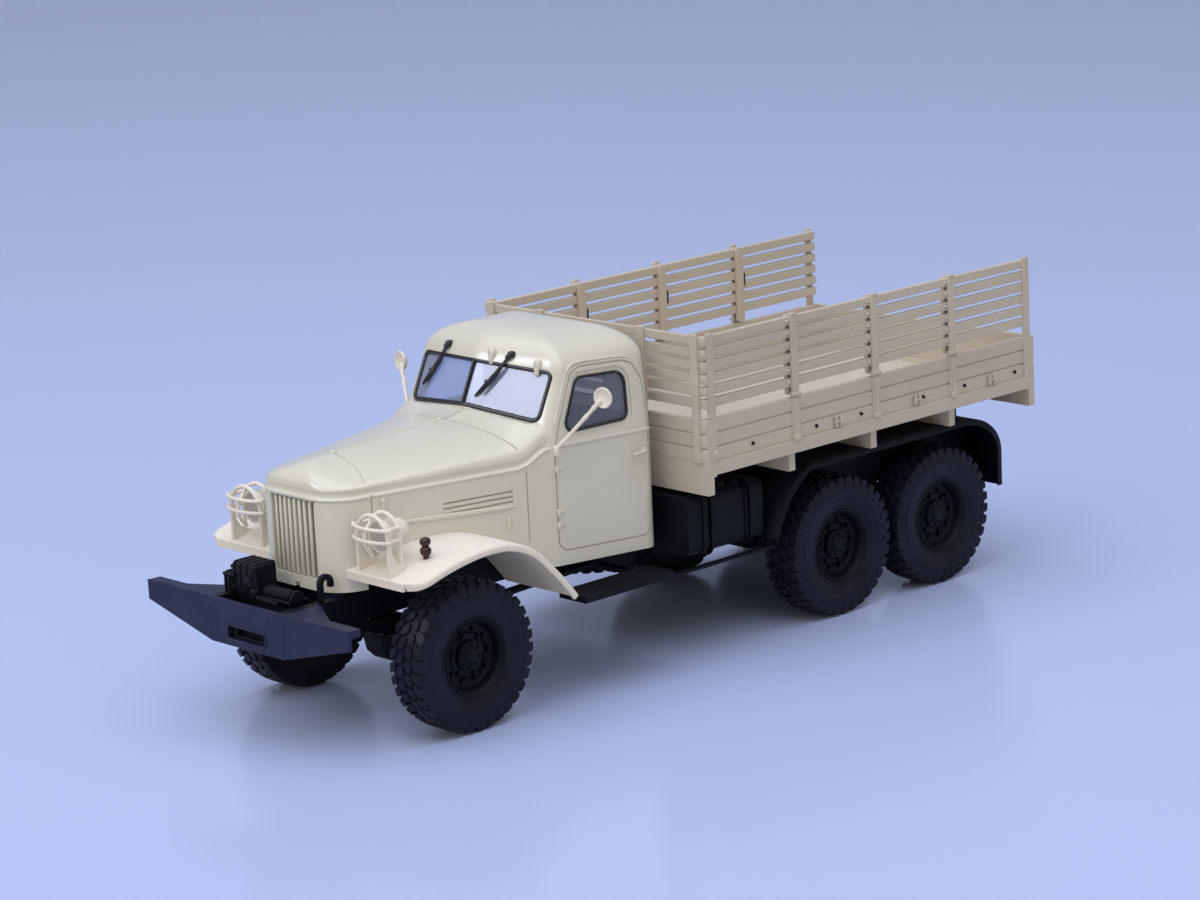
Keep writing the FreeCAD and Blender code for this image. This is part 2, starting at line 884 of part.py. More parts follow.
def hook():
    """Open hook in the XZ plane on the origin: a stem that bends over to the rear."""
    half = hook_bar / 2
    crown = hook_height - hook_radius
    centre_x = -hook_radius
    outer = [Vector(0, -half, 0)]
    inner = [Vector(-hook_bar, -half, 0)]
    for index in range(small_bar_sides - 1):
        angle = math.pi * index / (small_bar_sides - 2)
        for row, radius in ((outer, hook_radius), (inner, hook_radius - hook_bar)):
            row.append(Vector(centre_x + radius * math.cos(angle), -half,
                              crown + radius * math.sin(angle)))
    outer.append(outer[-1] - Vector(0, 0, hook_tip))
    inner.append(inner[-1] - Vector(0, 0, hook_tip))
    return face_of(outer + inner[::-1]).extrude(Vector(0, hook_bar, 0))


def tow_hooks():
    """Two front hooks on the rails and one hook on the rear member."""
    front = moved(hook(), front_end_x - front_hook_back, front_hook_y, rail_top_z)
    rear = hook()
    rear.rotate(Vector(0, 0, 0), Vector(0, 1, 0), -90)
    scale = (rail_rear_x - rear_end_x) / hook_height
    rear.scale(scale)
    rear = moved(rear, rail_rear_x, 0, tow_hook_z)
    return [front, mirrored(front), rear]


def engine_block():
    """Engine and gearbox as one plain mass between the rails."""
    rear_x = engine_front_x - engine_length
    gearbox_rear_x = rear_x - gearbox_length
    block = box(rear_x, engine_front_x, -engine_half_width, engine_half_width,
                engine_low_z, engine_top_z)
    head = box(rear_x + engine_head_step, engine_front_x - engine_head_step,
               -engine_head_half_width, engine_head_half_width,
               engine_top_z, engine_top_z + engine_head_height)
    gearbox = box(gearbox_rear_x, rear_x, -gearbox_half_width, gearbox_half_width,
                  gearbox_low_z, gearbox_low_z + gearbox_height)
    body = joined(block, head, gearbox)
    half = cross_member_width / 2 + seat_gap
    for x in cross_member_places + plinth_boss_places:
        body = body.cut(box(x - half, x + half, -rail_outer_y, rail_outer_y,
                            member_low_z - seat_gap, rail_top_z + seat_gap))
    boss_x = plinth_boss_places[0]
    return body.cut(box(boss_x - plinth_boss_radius - seat_gap, gearbox_rear_x + gearbox_length,
                        -rail_outer_y, rail_outer_y, gearbox_low_z - seat_gap,
                        rail_top_z + seat_gap).common(
        rod((boss_x, 0, gearbox_low_z - seat_gap), (boss_x, 0, rail_top_z),
            plinth_boss_radius + seat_gap)))


def transfer_case():
    """Transfer box hung from the frame behind the cab."""
    high = member_low_z
    half = transfer_length / 2
    rear, front = transfer_x - half, transfer_x + half
    shoulder = high - transfer_shoulder
    outline = [(rear, high), (front, high), (front, shoulder),
               (front - transfer_chamfer, transfer_low_z),
               (rear + transfer_chamfer, transfer_low_z), (rear, shoulder)]
    case = plate_along_y(outline, transfer_right_y, transfer_left_y)
    hanger = box(transfer_x, cab_member_x + cross_member_width / 2,
                 transfer_right_y, transfer_left_y, high - transfer_hanger, high)
    return joined(case, hanger)


def drive_shafts():
    """Shafts from the transfer box to the three axles."""
    half = transfer_length / 2
    middle = axle_z + shaft_rise
    nose_z = front_nose_z()
    front = rod((transfer_x + half, front_diff_y, middle),
                (pinion_face_x(front_axle_x, -1), front_diff_y, nose_z), shaft_radius)
    rear = rod((transfer_x - half, bogie_shaft_y, middle),
               (pinion_face_x(middle_axle_x, 1), bogie_shaft_y, nose_z), shaft_radius)
    last = rod((pinion_face_x(middle_axle_x, -1), 0, axle_z),
               (pinion_face_x(rear_axle_x, 1), 0, axle_z), shaft_radius)
    ends = [square_end(front), square_end(rear), last]
    return ends


def square_end(shaft):
    """A sloped shaft trimmed square to the faces that it runs between."""
    box_of = shaft.BoundBox
    return shaft.common(box(box_of.XMin + shaft_radius, box_of.XMax - shaft_radius,
                            -wide, wide, 0, wide))


def leaf_pack(half_length, rise, count, width, seat_z, leaves_below):
    """Bowed leaves in a stack in the XZ plane, the main leaf longest, from one stepped outline."""
    steps = count + 1
    way = -1 if leaves_below else 1

    def point(step, lift):
        x = half_length * step / steps
        bow = -way * rise * (step / steps) ** 2
        return Vector(x, -width / 2, seat_z + bow + lift)

    main_side = 0 if way > 0 else leaf_thickness
    outline = [point(step, main_side) for step in range(-steps, steps + 1)]
    right, left = [], []
    for index in range(count):
        depth = way * (index + 1) * leaf_thickness + (0 if way > 0 else leaf_thickness)
        end = steps - index
        right.append(point(end, depth))
        left.append(point(-end, depth))
        if index + 1 < count:
            right.append(point(end - 1, depth))
            left.append(point(1 - end, depth))
    inner_end = steps - count + 1
    closing = [point(step, way * count * leaf_thickness + (0 if way > 0 else leaf_thickness))
               for step in range(inner_end - 1, -inner_end, -1)]
    return face_of(outline + right + closing + left[::-1]).extrude(Vector(0, width, 0))


def front_spring():
    """Left front spring on the axle, with the hangers that join it to the rail."""
    seat = axle_z + axle_tube_radius
    stack = (front_leaf_count - 1) * leaf_thickness
    main_low = seat + stack + seat_gap
    pack = leaf_pack(front_spring_half_length, front_spring_rise, front_leaf_count,
                     leaf_width, main_low, True)
    pieces = [moved(pack, front_axle_x, front_spring_y)]
    end_top = main_low + front_spring_rise + leaf_thickness
    for side in (-1, 1):
        x = front_axle_x + side * (front_spring_half_length - hanger_width / 2)
        pieces.append(box(x - hanger_width / 2, x + hanger_width / 2,
                          front_spring_y - leaf_width / 2, front_spring_y + leaf_width / 2,
                          end_top - leaf_thickness - hanger_overlap, rail_low_z))
    return joined(*pieces)


def rear_spring():
    """Left bogie spring across both rear axles, clamped on the trunnion."""
    seat = axle_z + axle_tube_radius
    main_low = seat + rear_spring_rise + seat_gap
    pack = leaf_pack(rear_spring_half_length, rear_spring_rise, rear_leaf_count,
                     leaf_width, main_low, False)
    pack = moved(pack, bogie_x, rear_spring_y)
    stack_top = main_low + rear_leaf_count * leaf_thickness
    front, back = bogie_x + clamp_half_length, bogie_x - clamp_half_length
    half = leaf_width / 2 + clamp_wall
    clamp = box(back, front, rear_spring_y - half, rear_spring_y + half,
                main_low - clamp_reach, stack_top + clamp_reach)
    bracket = box(back, front, rail_outer_y, rear_spring_y + leaf_width / 2,
                  stack_top, stack_top + trunnion_height)
    return joined(pack, clamp, bracket)


def exhaust():
    """Silencer and pipe along the right rail."""
    silencer = rod((silencer_rear_x, exhaust_y, exhaust_z),
                   (silencer_front_x, exhaust_y, exhaust_z), silencer_radius)
    pipe = rod((silencer_front_x, exhaust_y, exhaust_z),
               (front_pipe_x, exhaust_y, exhaust_z + front_pipe_rise), exhaust_pipe_radius)
    tail = rod((silencer_rear_x - tail_pipe_length, exhaust_y, exhaust_z),
               (silencer_rear_x, exhaust_y, exhaust_z), exhaust_pipe_radius)
    middle = (silencer_front_x + silencer_rear_x) / 2
    strap = box(middle - exhaust_strap_width / 2, middle + exhaust_strap_width / 2,
                exhaust_y, -rail_outer_y, rail_low_z + exhaust_strap_thickness / 2,
                rail_low_z + 1.5 * exhaust_strap_thickness)
    return joined(silencer, pipe, tail, strap)


def fuel_tank():
    """Pressed tank with rounded edges, cap, straps and its bracket on the left rail."""
    def section(grown):
        return [(tank_inner_y - grown, tank_low_z - grown), (tank_outer_y + grown, tank_low_z - grown),
                (tank_outer_y + grown, tank_top_z + grown), (tank_inner_y - grown, tank_top_z + grown)]

    tank = plate_along_x(section(0), tank_rear_x, tank_front_x, tank_round)
    cap_x, cap_y = tank_front_x - tank_cap_behind, tank_outer_y - tank_cap_inside
    cap = rod((cap_x, cap_y, tank_top_z - tank_cap_height),
              (cap_x, cap_y, tank_top_z + tank_cap_height), tank_cap_radius)
    pieces = [tank, cap]
    half = tank_strap_width / 2
    for x in (tank_rear_x + tank_strap_inset, tank_front_x - tank_strap_inset):
        pieces.append(plate_along_x(section(tank_strap_thickness), x - half, x + half,
                                    tank_round + tank_strap_thickness))
        pieces.append(box(x - half, x + half, rail_outer_y, tank_inner_y,
                          member_high_z - tank_bracket_height, member_high_z))
    return joined(*pieces)


def spare_middle_z():
    """Height of the flat spare wheel's middle plane under the frame."""
    return rail_low_z - spare_gap - spare_carrier_bar - tyre_width / 2


def spare_piece(piece):
    """A wheel piece laid flat, its outer side down, in its place under the bed."""
    laid = piece.copy()
    laid.rotate(Vector(0, 0, 0), Vector(1, 0, 0), -90)
    return moved(laid, spare_x, spare_y, spare_middle_z())


def spare_carrier():
    """Cross bar under the rails that holds the spare wheel by its hub."""
    half = spare_carrier_half_width
    bar = box(spare_x - half, spare_x + half, spare_y - spare_carrier_reach,
              -rail_outer_y + rail_flange, rail_low_z - spare_carrier_bar, rail_low_z)
    stub = pin((spare_x, spare_y, spare_middle_z() - spare_stub_depth),
               (spare_x, spare_y, rail_low_z), spare_stub_radius())
    return joined(bar, stub)


def spare_stub_radius():
    """The carrier's stub is a little slimmer than the hub's bore."""
    return spindle_radius


def running_board():
    """Left step under the door with its brackets."""
    low = board_top_z - board_thickness
    pieces = [box(board_rear_x, board_front_x, board_inner_y, board_outer_y, low, board_top_z)]
    half = board_bracket_width / 2
    for x in (board_rear_x + board_bracket_inset, board_front_x - board_bracket_inset):
        pieces.append(box(x - half, x + half, rail_outer_y, board_inner_y + board_bracket_lap,
                          low, board_top_z - board_bracket_step))
        pieces.append(box(x - half, x + half, rail_outer_y, rail_outer_y + board_hanger_wall,
                          low, rail_low_z + board_hanger_rise))
    return joined(*pieces)


def side_bar():
    """Bar that runs on from the left running board below the tank."""
    return box(side_bar_rear_x, board_rear_x, board_outer_y - side_bar_width, board_outer_y,
               side_bar_z - side_bar_height, side_bar_z)


# Cab and bonnet


def screen_x(y, z):
    """Windscreen plane: leans back with height and sweeps back towards its sides."""
    return screen_foot_x - (z - screen_foot_z) * screen_lean - abs(y) * screen_sweep


def greenhouse_ring(z, half_width, plan_z, inset):
    """Plan of the cab above the waist, five corners with a swept front."""
    side = half_width - inset
    rear = cab_rear_x + inset
    front_corner = screen_x(side, plan_z) - inset
    front_middle = screen_x(0, plan_z) - inset
    corners = [Vector(rear, -side, z), Vector(front_corner, -side, z),
               Vector(front_middle, 0, z), Vector(front_corner, side, z), Vector(rear, side, z)]
    rear_round = max(cab_corner - inset, cab_inner_corner)
    front_round = max(cab_front_corner - inset, cab_inner_corner)
    return rounded_points(corners, [rear_round, front_round, screen_crown_round, front_round,
                                    rear_round])


def scaled_ring(ring, scale, z):
    """A level ring shrunk towards the roof's centre and lifted to a height."""
    return [Vector(roof_centre_x + (point.x - roof_centre_x) * scale, point.y * scale, z)
            for point in ring]


def cab_volume(inset, steps=roof_steps):
    """Closed shape of the cab, drawn in by a wall thickness."""
    side = cab_half_width - inset
    cowl_side = bonnet_rear_half_width - inset
    rear, front = cab_rear_x + inset, cab_front_x - inset
    corners = [(rear, -side), (cab_shoulder_x, -side), (front, -cowl_side),
               (front, cowl_side), (cab_shoulder_x, side), (rear, side)]
    rear_round = max(cab_corner - inset, cab_inner_corner)
    lower = plate_along_z(corners, cab_low_rear_z - cab_wall, ridge_z,
                          [rear_round, 0, 0, 0, 0, rear_round])
    eave = greenhouse_ring(eave_z, eave_half_width, eave_z, inset)
    rings = [greenhouse_ring(ridge_z, cab_half_width, belt_z, inset),
             greenhouse_ring(belt_z, cab_half_width, belt_z, inset), eave]
    for share in steps:
        scale = (1 - share ** roof_crest) ** (1 / roof_fullness)
        rings.append(scaled_ring(eave, scale, eave_z + (roof_rise - inset) * share))
    return joined(lower, flat_sided(rings))


def bonnet_half_width(x):
    """Half width of the bonnet's side at a place along the truck."""
    share = (x - cab_front_x) / (nose_x - cab_front_x)
    return bonnet_rear_half_width + min(max(share, 0), 1) * (nose_half_width
                                                            - bonnet_rear_half_width)


def bonnet_outline(z, inset, rear_x):
    """Plan of the bonnet, narrowing to a rounded nose."""
    front = nose_x - inset
    nose_half = bonnet_half_width(nose_x) - inset
    half_places = [(x, bonnet_half_width(x) - inset)
                   for x in sorted({rear_x, cab_front_x, bonnet_middle_x})]
    right = [Vector(x, -y, z) for x, y in half_places]
    left = [Vector(x, y, z) for x, y in half_places[::-1]]
    nose = [Vector(front, -nose_half, z), Vector(front, nose_half, z)]
    front_round = max(nose_round - inset, cab_inner_corner)
    rounds = [0] * len(right) + [front_round] * 2 + [0] * len(left)
    return rounded_points(right + nose + left, rounds, nose_round_steps)


def lid_ring(share, inset, rear_x):
    """Outline of the bonnet's lid at a share of its height: drawn in to the middle hinge by a
    superellipse whose fullness falls towards the nose, and to the rear by an ellipse."""
    base_z = ridge_z + lid_edge_height
    slope = (lid_front_top_z - lid_rear_top_z) / (nose_x - cab_front_x)
    length = nose_x - rear_x
    front_share = lid_front_depth / length * (1 - math.sqrt(1 - share ** 2))
    points = []
    for point in bonnet_outline(0, inset + lid_edge_inset, rear_x):
        along = min(max((point.x - cab_front_x) / (nose_x - cab_front_x), 0), 1)
        fullness = lid_rear_fullness + along * (lid_front_fullness - lid_rear_fullness)
        draw = (1 - share ** fullness) ** (1 / fullness)
        x = rear_x + (point.x - rear_x) * (1 - front_share)
        top = lid_rear_top_z + (x - cab_front_x) * slope - inset
        points.append(Vector(x, point.y * draw, base_z + share * (top - base_z)))
    return points


def bonnet_volume(inset, rear_x, steps=lid_steps):
    """Closed shape of the bonnet: upright sides, a lip along the ridge and a crowned lid."""
    lower = face_of(bonnet_outline(bonnet_low_z, inset, rear_x)).extrude(
        Vector(0, 0, ridge_z - bonnet_low_z))
    lid = [[Vector(point.x, point.y, ridge_z)
            for point in bonnet_outline(0, inset + lid_edge_inset, rear_x)]]
    lid += [lid_ring(share, inset, rear_x) for share in (0,) + steps]
    return joined(lower, flat_sided(lid))


def bonnet_skirt():
    """The nose's cheeks below the bonnet's side panels."""
    skirt = face_of(bonnet_outline(nose_low_z, 0, cab_front_x)).extrude(
        Vector(0, 0, bonnet_low_z - nose_low_z))
    hollow = face_of(bonnet_outline(nose_low_z, bonnet_wall, cab_front_x)).extrude(
        Vector(0, 0, bonnet_low_z - nose_low_z))
    return skirt.cut(hollow).common(box(nose_skirt_x, nose_x + 1, -wide, wide, 0, wide))


def ridge_bead():
    """Raised lip that runs round the bonnet where the lid meets the sides."""
    low = ridge_z - ridge_lip_height / 2
    outer = face_of(bonnet_outline(low, -ridge_lip, cab_front_x)).extrude(
        Vector(0, 0, ridge_lip_height))
    inner = face_of(bonnet_outline(low, lid_edge_inset + ridge_lip, cab_front_x)).extrude(
        Vector(0, 0, ridge_lip_height))
    return outer.cut(inner)


def screen_outline(inset):
    """Front view of the windscreen's opening, drawn in by an amount."""
    half = screen_half_width - inset
    low_slope = (screen_foot_z - screen_corner_low_z) / screen_half_width
    top_slope = (screen_centre_top_z - screen_corner_top_z) / screen_half_width
    low = screen_foot_z + inset
    top = screen_centre_top_z - inset
    return [(-half, low - half * low_slope), (0, low), (half, low - half * low_slope),
            (half, top - half * top_slope), (0, top), (-half, top - half * top_slope)]


def screen_prism(inset, round_radius):
    """The windscreen's opening pushed through the cab's front."""
    radii = [round_radius, 0, round_radius, round_radius, 0, round_radius]
    return plate_along_x(screen_outline(inset), roof_centre_x, nose_x, radii)


def screen_slab(outward, thickness):
    """Two flat leaves that follow the windscreen's planes, met at the middle."""
    z0, z1 = screen_corner_low_z - 3, screen_centre_top_z + 3
    leaves = []
    for side in (-1, 1):
        rings = []
        for y in (0, side * cab_half_width):
            rings.append([Vector(screen_x(y, z0) + outward, y, z0),
                          Vector(screen_x(y, z1) + outward, y, z1),
                          Vector(screen_x(y, z1) + outward - thickness, y, z1),
                          Vector(screen_x(y, z0) + outward - thickness, y, z0)])
        leaves.append(flat_sided(rings))
    return joined(*leaves)


def window_outline(inset):
    """Side window outline, its corners rounded, drawn in by an amount."""
    corners = [Vector(x, 0, z) for x, z in side_window]
    drawn = []
    for index, corner in enumerate(corners):
        before = (corners[index - 1] - corner).normalize()
        after = (corners[(index + 1) % len(corners)] - corner).normalize()
        reach = inset / math.sin(before.getAngle(after) / 2)
        drawn.append(corner + (before + after).normalize() * reach)
    return rounded_points(drawn, [radius - inset for radius in side_window_rounds])


def side_window_prism(inset):
    """The side window's opening pushed across the cab's left side."""
    depth = 2 * cab_corner
    prism = face_of(window_outline(inset)).extrude(Vector(0, 2 * depth, 0))
    return moved(prism, y=cab_half_width - depth)


def side_slab(outward, thickness):
    """Flat leaf that follows the cab's left side above the belt."""
    z0, z1 = belt_z, eave_z
    y0 = cab_half_width + outward
    y1 = eave_half_width + outward
    outline = [(y0, z0), (y1, z1), (y1 - thickness, z1), (y0 - thickness, z0)]
    return plate_along_x(outline, cab_rear_x, cab_front_x)


def rear_window_prism(inset):
    """The rear window's opening pushed through the cab's back wall."""
    half = rear_window_half_width - inset
    outline = [(-half, rear_window_low_z + inset), (half, rear_window_low_z + inset),
               (half, rear_window_high_z - inset), (-half, rear_window_high_z - inset)]
    return plate_along_x(outline, cab_rear_x - cab_corner, cab_rear_x + cab_corner,
                         rear_window_round - inset)


def cab_shell():
    """Cab and bonnet in one hollow casting, open below, with its windows cut."""
    outer = joined(cab_volume(0), bonnet_volume(0, cab_front_x - bonnet_overlap), ridge_bead())
    room = cab_volume(cab_wall, roof_inner_steps)
    above_floor = room.common(box(0, wide, -wide, wide, floor_top_of_cab_z, wide))
    below_floor = room.common(box(0, wide, -wide, wide, 0, floor_low_z))
    engine_bay = bonnet_volume(bonnet_wall, cab_front_x, lid_inner_steps)
    under = moved(engine_bay, z=bonnet_low_z - ridge_z)
    shell = outer.cut(above_floor).cut(below_floor).cut(engine_bay)
    shell = shell.cut(under.common(box(cab_front_x, nose_x, -wide, wide, 0, ridge_z)))
    shell = joined(shell, bonnet_skirt())
    shell = shell.cut(box(cab_rear_x - cab_wall, cab_front_x + cab_wall, -tunnel_half_width,
                          tunnel_half_width, 0, floor_low_z))
    sill_cut = plate_along_y([(0, 0), (cab_front_x, 0), (cab_front_x, cab_low_front_z),
                              (cab_rear_x, cab_low_rear_z), (0, cab_low_rear_z)], -wide, wide)
    shell = shell.cut(sill_cut)
    shell = shell.cut(screen_prism(0, screen_round).common(screen_slab(cab_corner, 3 * cab_corner)))
    window = side_window_prism(0)
    shell = shell.cut(window).cut(mirrored(window))
    shell = shell.cut(rear_window_prism(0))
    return shell.cut(box(nose_x - nose_round / 2, nose_x + 1, -grille_half_width,
                         grille_half_width, grille_low_z, grille_high_z))


def windscreen_gasket():
    """Rubber frame of the windscreen with its middle post."""
    ring = screen_prism(seat_gap, screen_round).cut(screen_prism(seal_width, screen_inner_round))
    post = box(roof_centre_x, nose_x, -post_half_width, post_half_width,
               screen_corner_low_z, screen_centre_top_z + seal_width)
    post = post.common(screen_prism(seal_width / 2, screen_inner_round))
    return joined(ring, post).common(screen_slab(seal_proud, seal_proud + seal_depth))


def windscreen_glass():
    """Two flat panes inside the windscreen's rubber."""
    field = screen_prism(seal_width + seat_gap, screen_inner_round)
    post = box(roof_centre_x, nose_x, -post_half_width - seat_gap, post_half_width + seat_gap,
               screen_corner_low_z, screen_centre_top_z + seal_width)
    return field.cut(post).common(screen_slab(-glass_inset, glass_thickness))


def window_seals():
    """Rubber rings round the side windows and the rear window."""
    side = side_window_prism(seat_gap).cut(side_window_prism(side_seal_width))
    side = side.common(side_slab(side_seal_proud, side_seal_depth))
    back = rear_window_prism(seat_gap).cut(rear_window_prism(side_seal_width))
    back = back.common(box(cab_rear_x - side_seal_proud, cab_rear_x + side_seal_depth,
                           -wide, wide, 0, wide))
    return [side, mirrored(side), back]


def cab_glass():
    """Side panes and the rear pane inside their seals."""
    side = side_window_prism(side_seal_width + seat_gap)
    side = side.common(side_slab(-glass_inset, glass_thickness))
    back = rear_window_prism(side_seal_width + seat_gap)
    back = back.common(box(cab_rear_x + glass_inset, cab_rear_x + glass_inset + glass_thickness,
                           -wide, wide, 0, wide))
    return [side, mirrored(side), back]


def nose_front_x(y):
    """Front of the rounded nose at a place across the truck."""
    flat = nose_half_width - nose_round
    beyond = max(abs(y) - flat, 0)
    return nose_x - nose_round + math.sqrt(nose_round ** 2 - beyond ** 2)


def grille():
    """Upright bars in the nose's opening, joined by a bar above and one below."""
    low, high = grille_low_z + seat_gap, grille_high_z - seat_gap
    half = grille_half_width - seat_gap
    pitch = (2 * half - grille_bar_width) / (grille_bars - 1)
    pieces = []
    for index in range(grille_bars):
        y = -half + index * pitch
        front = nose_front_x(max(abs(y), abs(y + grille_bar_width))) - grille_recess
        pieces.append(box(front - grille_bar_depth, front, y, y + grille_bar_width, low, high))
    rail_front = nose_front_x(half) - grille_recess - grille_rail_step
    for z in (low, high - grille_bar_width):
        pieces.append(box(nose_x - grille_recess - grille_bar_depth, rail_front, -half, half,
                          z, z + grille_bar_width))
    return joined(*pieces)


# Fenders and lamps


def crown_line():
    """Side view of the fender's crown, a smooth curve through its named points, in short flats."""
    curve = Part.BSplineCurve()
    curve.interpolate([Vector(x, 0, z) for x, z in fender_crown])
    return curve.discretize(Number=fender_steps)


def fender_top_z(x):
    """Height of the fender's top at a place along the truck."""
    points = crown_line()
    for ahead, behind in zip(points[:-1], points[1:]):
        if behind.x <= x <= ahead.x:
            share = (ahead.x - x) / (ahead.x - behind.x)
            return ahead.z + share * (behind.z - ahead.z)
    return points[0].z


def fender_prism(drop, y0, y1, back=0.0):
    """Solid below the crown line between two y planes, lowered and moved back by amounts."""
    points = [Vector(point.x - back, y0, point.z - drop) for point in crown_line()]
    low = points[-1].z - tyre_radius
    feet = [Vector(points[-1].x, y0, low), Vector(points[0].x, y0, low)]
    return face_of(points + feet).extrude(Vector(0, y1 - y0, 0))


def fender():
    """Left front fender: a thin crowned sheet with a turned-down outer edge."""
    beyond = fender_skin
    skin = fender_prism(0, fender_inner_y, fender_outer_y)
    skin = skin.cut(fender_prism(fender_edge_drop + fender_skin, fender_inner_y - beyond,
                                 fender_outer_y + beyond, -beyond))
    skin = skin.cut(fender_prism(fender_edge_drop + fender_skin, fender_inner_y - beyond,
                                 fender_outer_y + beyond, beyond))
    skin = skin.cut(fender_prism(fender_skin, fender_inner_y - beyond,
                                 fender_outer_y - fender_skin, fender_skin))
    front = fender_crown[0][0]
    corner_x, corner_y = front - fender_front_round, fender_outer_y - fender_front_round
    block = box(corner_x, front + beyond, corner_y, fender_outer_y + beyond, 0, wide)
    keep = rod((corner_x, corner_y, 0), (corner_x, corner_y, wide), fender_front_round)
    skin = skin.cut(block.cut(keep))
    grown = face_of(bonnet_outline(0, -fender_gap, cab_front_x - cab_corner))
    skin = skin.cut(grown.extrude(Vector(0, 0, wide)))
    side = cab_half_width + fender_gap
    return skin.cut(box(0, cab_front_x + fender_gap, -side, side, 0, wide))


def headlamp():
    """Left headlamp: round body on a short stalk that stands on the fender."""
    rear_x = lamp_x - lamp_length
    axis = Vector(1, 0, 0)
    body = flat_sided([ring_points(Vector(x, lamp_y, lamp_z), axis, radius, bar_sides)
                       for x, radius in ((rear_x, lamp_tail_radius),
                                         (rear_x + lamp_length / 2, lamp_radius),
                                         (lamp_x, lamp_radius))])
    recess = rod((lamp_x - lens_thickness, lamp_y, lamp_z), (lamp_x + lamp_wall, lamp_y, lamp_z),
                 lamp_radius - lamp_wall)
    stalk_x = lamp_x - lamp_stalk_back
    stalk = rod((stalk_x, lamp_y, fender_top_z(stalk_x) - fender_skin),
                (stalk_x, lamp_y, lamp_z - lamp_stalk_radius), lamp_stalk_radius)
    return joined(body, stalk).cut(recess)


def lamp_guard():
    """Guard ahead of the lens: an arched hoop on two legs with two rungs across it."""
    outer, inner = guard_radius, guard_radius - guard_bar
    foot = fender_top_z(fender_crown[0][0]) - fender_skin
    outer_row, inner_row = [], []
    for index in range(guard_sides + 1):
        angle = math.pi * index / guard_sides
        for row, radius in ((outer_row, outer), (inner_row, inner)):
            row.append(Vector(guard_x, lamp_y + radius * math.cos(angle),
                              lamp_z + radius * math.sin(angle)))
    loop = [Vector(guard_x, lamp_y + outer, foot)] + outer_row
    loop += [Vector(guard_x, lamp_y - outer, foot), Vector(guard_x, lamp_y - inner, foot)]
    loop += inner_row[::-1] + [Vector(guard_x, lamp_y + inner, foot)]
    pieces = [face_of(loop).extrude(Vector(-guard_bar, 0, 0))]
    half = guard_bar / 2
    reach = guard_radius - half
    for z in (lamp_z, lamp_z + guard_rung_spacing):
        rung_reach = math.sqrt(max(reach ** 2 - (z - lamp_z) ** 2, 0))
        pieces.append(box(guard_x - half, guard_x + half, lamp_y - rung_reach,
                          lamp_y + rung_reach, z - half, z + half))
    for side in (-1, 1):
        y = lamp_y + side * (lamp_radius - half)
        pieces.append(box(lamp_x - lamp_wall, guard_x, y - half, y + half,
                          lamp_z - half, lamp_z + half))
    guard = joined(*pieces)
    return guard


def lamp_with_guard():
    """Headlamp and its guard, standing on the fender's top."""
    return joined(headlamp(), lamp_guard()).cut(fender_prism(0, 0, wide))


def lamp_lens():
    """Clear lens in the headlamp."""
    return rod((lamp_x - lens_thickness, lamp_y, lamp_z), (lamp_x + lens_proud, lamp_y, lamp_z),
               lamp_radius - lamp_wall - seat_gap)


def marker_lamp():
    """Two small round lamps one above the other on the left fender."""
    foot = fender_top_z(marker_x)
    pieces = [rod((marker_x, marker_y, foot - fender_skin),
                  (marker_x, marker_y, foot + marker_high_rise), marker_stem)]
    for rise in (marker_low_rise, marker_high_rise):
        middle = Vector(marker_x, marker_y, foot + rise)
        rings = []
        for angle in (-70, -25, 25, 70):
            turn = math.radians(angle)
            rings.append(ring_points(middle + Vector(0, 0, marker_radius * math.sin(turn)),
                                     Vector(0, 0, 1), marker_radius * math.cos(turn),
                                     small_bar_sides))
        pieces.append(flat_sided(rings))
    return joined(*pieces).cut(fender_prism(0, 0, wide))


# Cab fittings


def bench_seat():
    """Seat cushion and backrest across the cab on a box base."""
    inset = seat_base_inset
    base = box(seat_rear_x + inset, seat_front_x - inset, -seat_half_width + inset,
               seat_half_width - inset, floor_top_of_cab_z, seat_low_z)
    cushion = box(seat_rear_x, seat_front_x, -seat_half_width, seat_half_width,
                  seat_low_z, seat_top_z)
    back = box(seat_rear_x - back_thickness, seat_rear_x, -seat_half_width, seat_half_width,
               seat_low_z, back_top_z)
    return joined(base, cushion, back)


def dashboard():
    """Instrument panel under the windscreen."""
    rear = dash_front_x - dash_depth
    outline = [(rear, dash_low_z), (dash_front_x, dash_low_z), (dash_front_x, dash_top_z),
               (rear + dash_slope, dash_top_z)]
    panel = plate_along_y(outline, -dash_half_width, dash_half_width)
    bracket = box(dash_front_x, cab_front_x - cab_wall, -dash_half_width, dash_half_width,
                  dash_low_z, dash_low_z + dash_bracket)
    return joined(panel, bracket).common(cab_volume(cab_wall, roof_inner_steps))


def steering_wheel():
    """Steering wheel with two spokes on a sloping column down to the floor."""
    half = wheel_ring_bar / 2
    inner = wheel_ring_radius - wheel_ring_bar
    ring = turned([(-half, wheel_ring_radius), (half, wheel_ring_radius)], wheel_ring_sides)
    ring = ring.cut(turned([(-wheel_ring_bar, inner), (wheel_ring_bar, inner)], wheel_ring_sides))
    spoke = box(-inner - half / 2, inner + half / 2, -half, half, -half, half)
    hub = rod((0, -wheel_ring_bar, 0), (0, wheel_ring_bar, 0), wheel_hub_radius)
    column = rod((0, 0, 0), (0, column_length, 0), column_radius)
    wheel = joined(ring, spoke, hub, column)
    wheel.rotate(Vector(0, 0, 0), Vector(1, 0, 0), -90)
    wheel.rotate(Vector(0, 0, 0), Vector(0, 1, 0), -wheel_tilt)
    wheel = moved(wheel, wheel_centre_x, wheel_y, wheel_centre_z)
    return wheel.cut(box(0, wide, -wide, wide, 0, floor_top_of_cab_z))


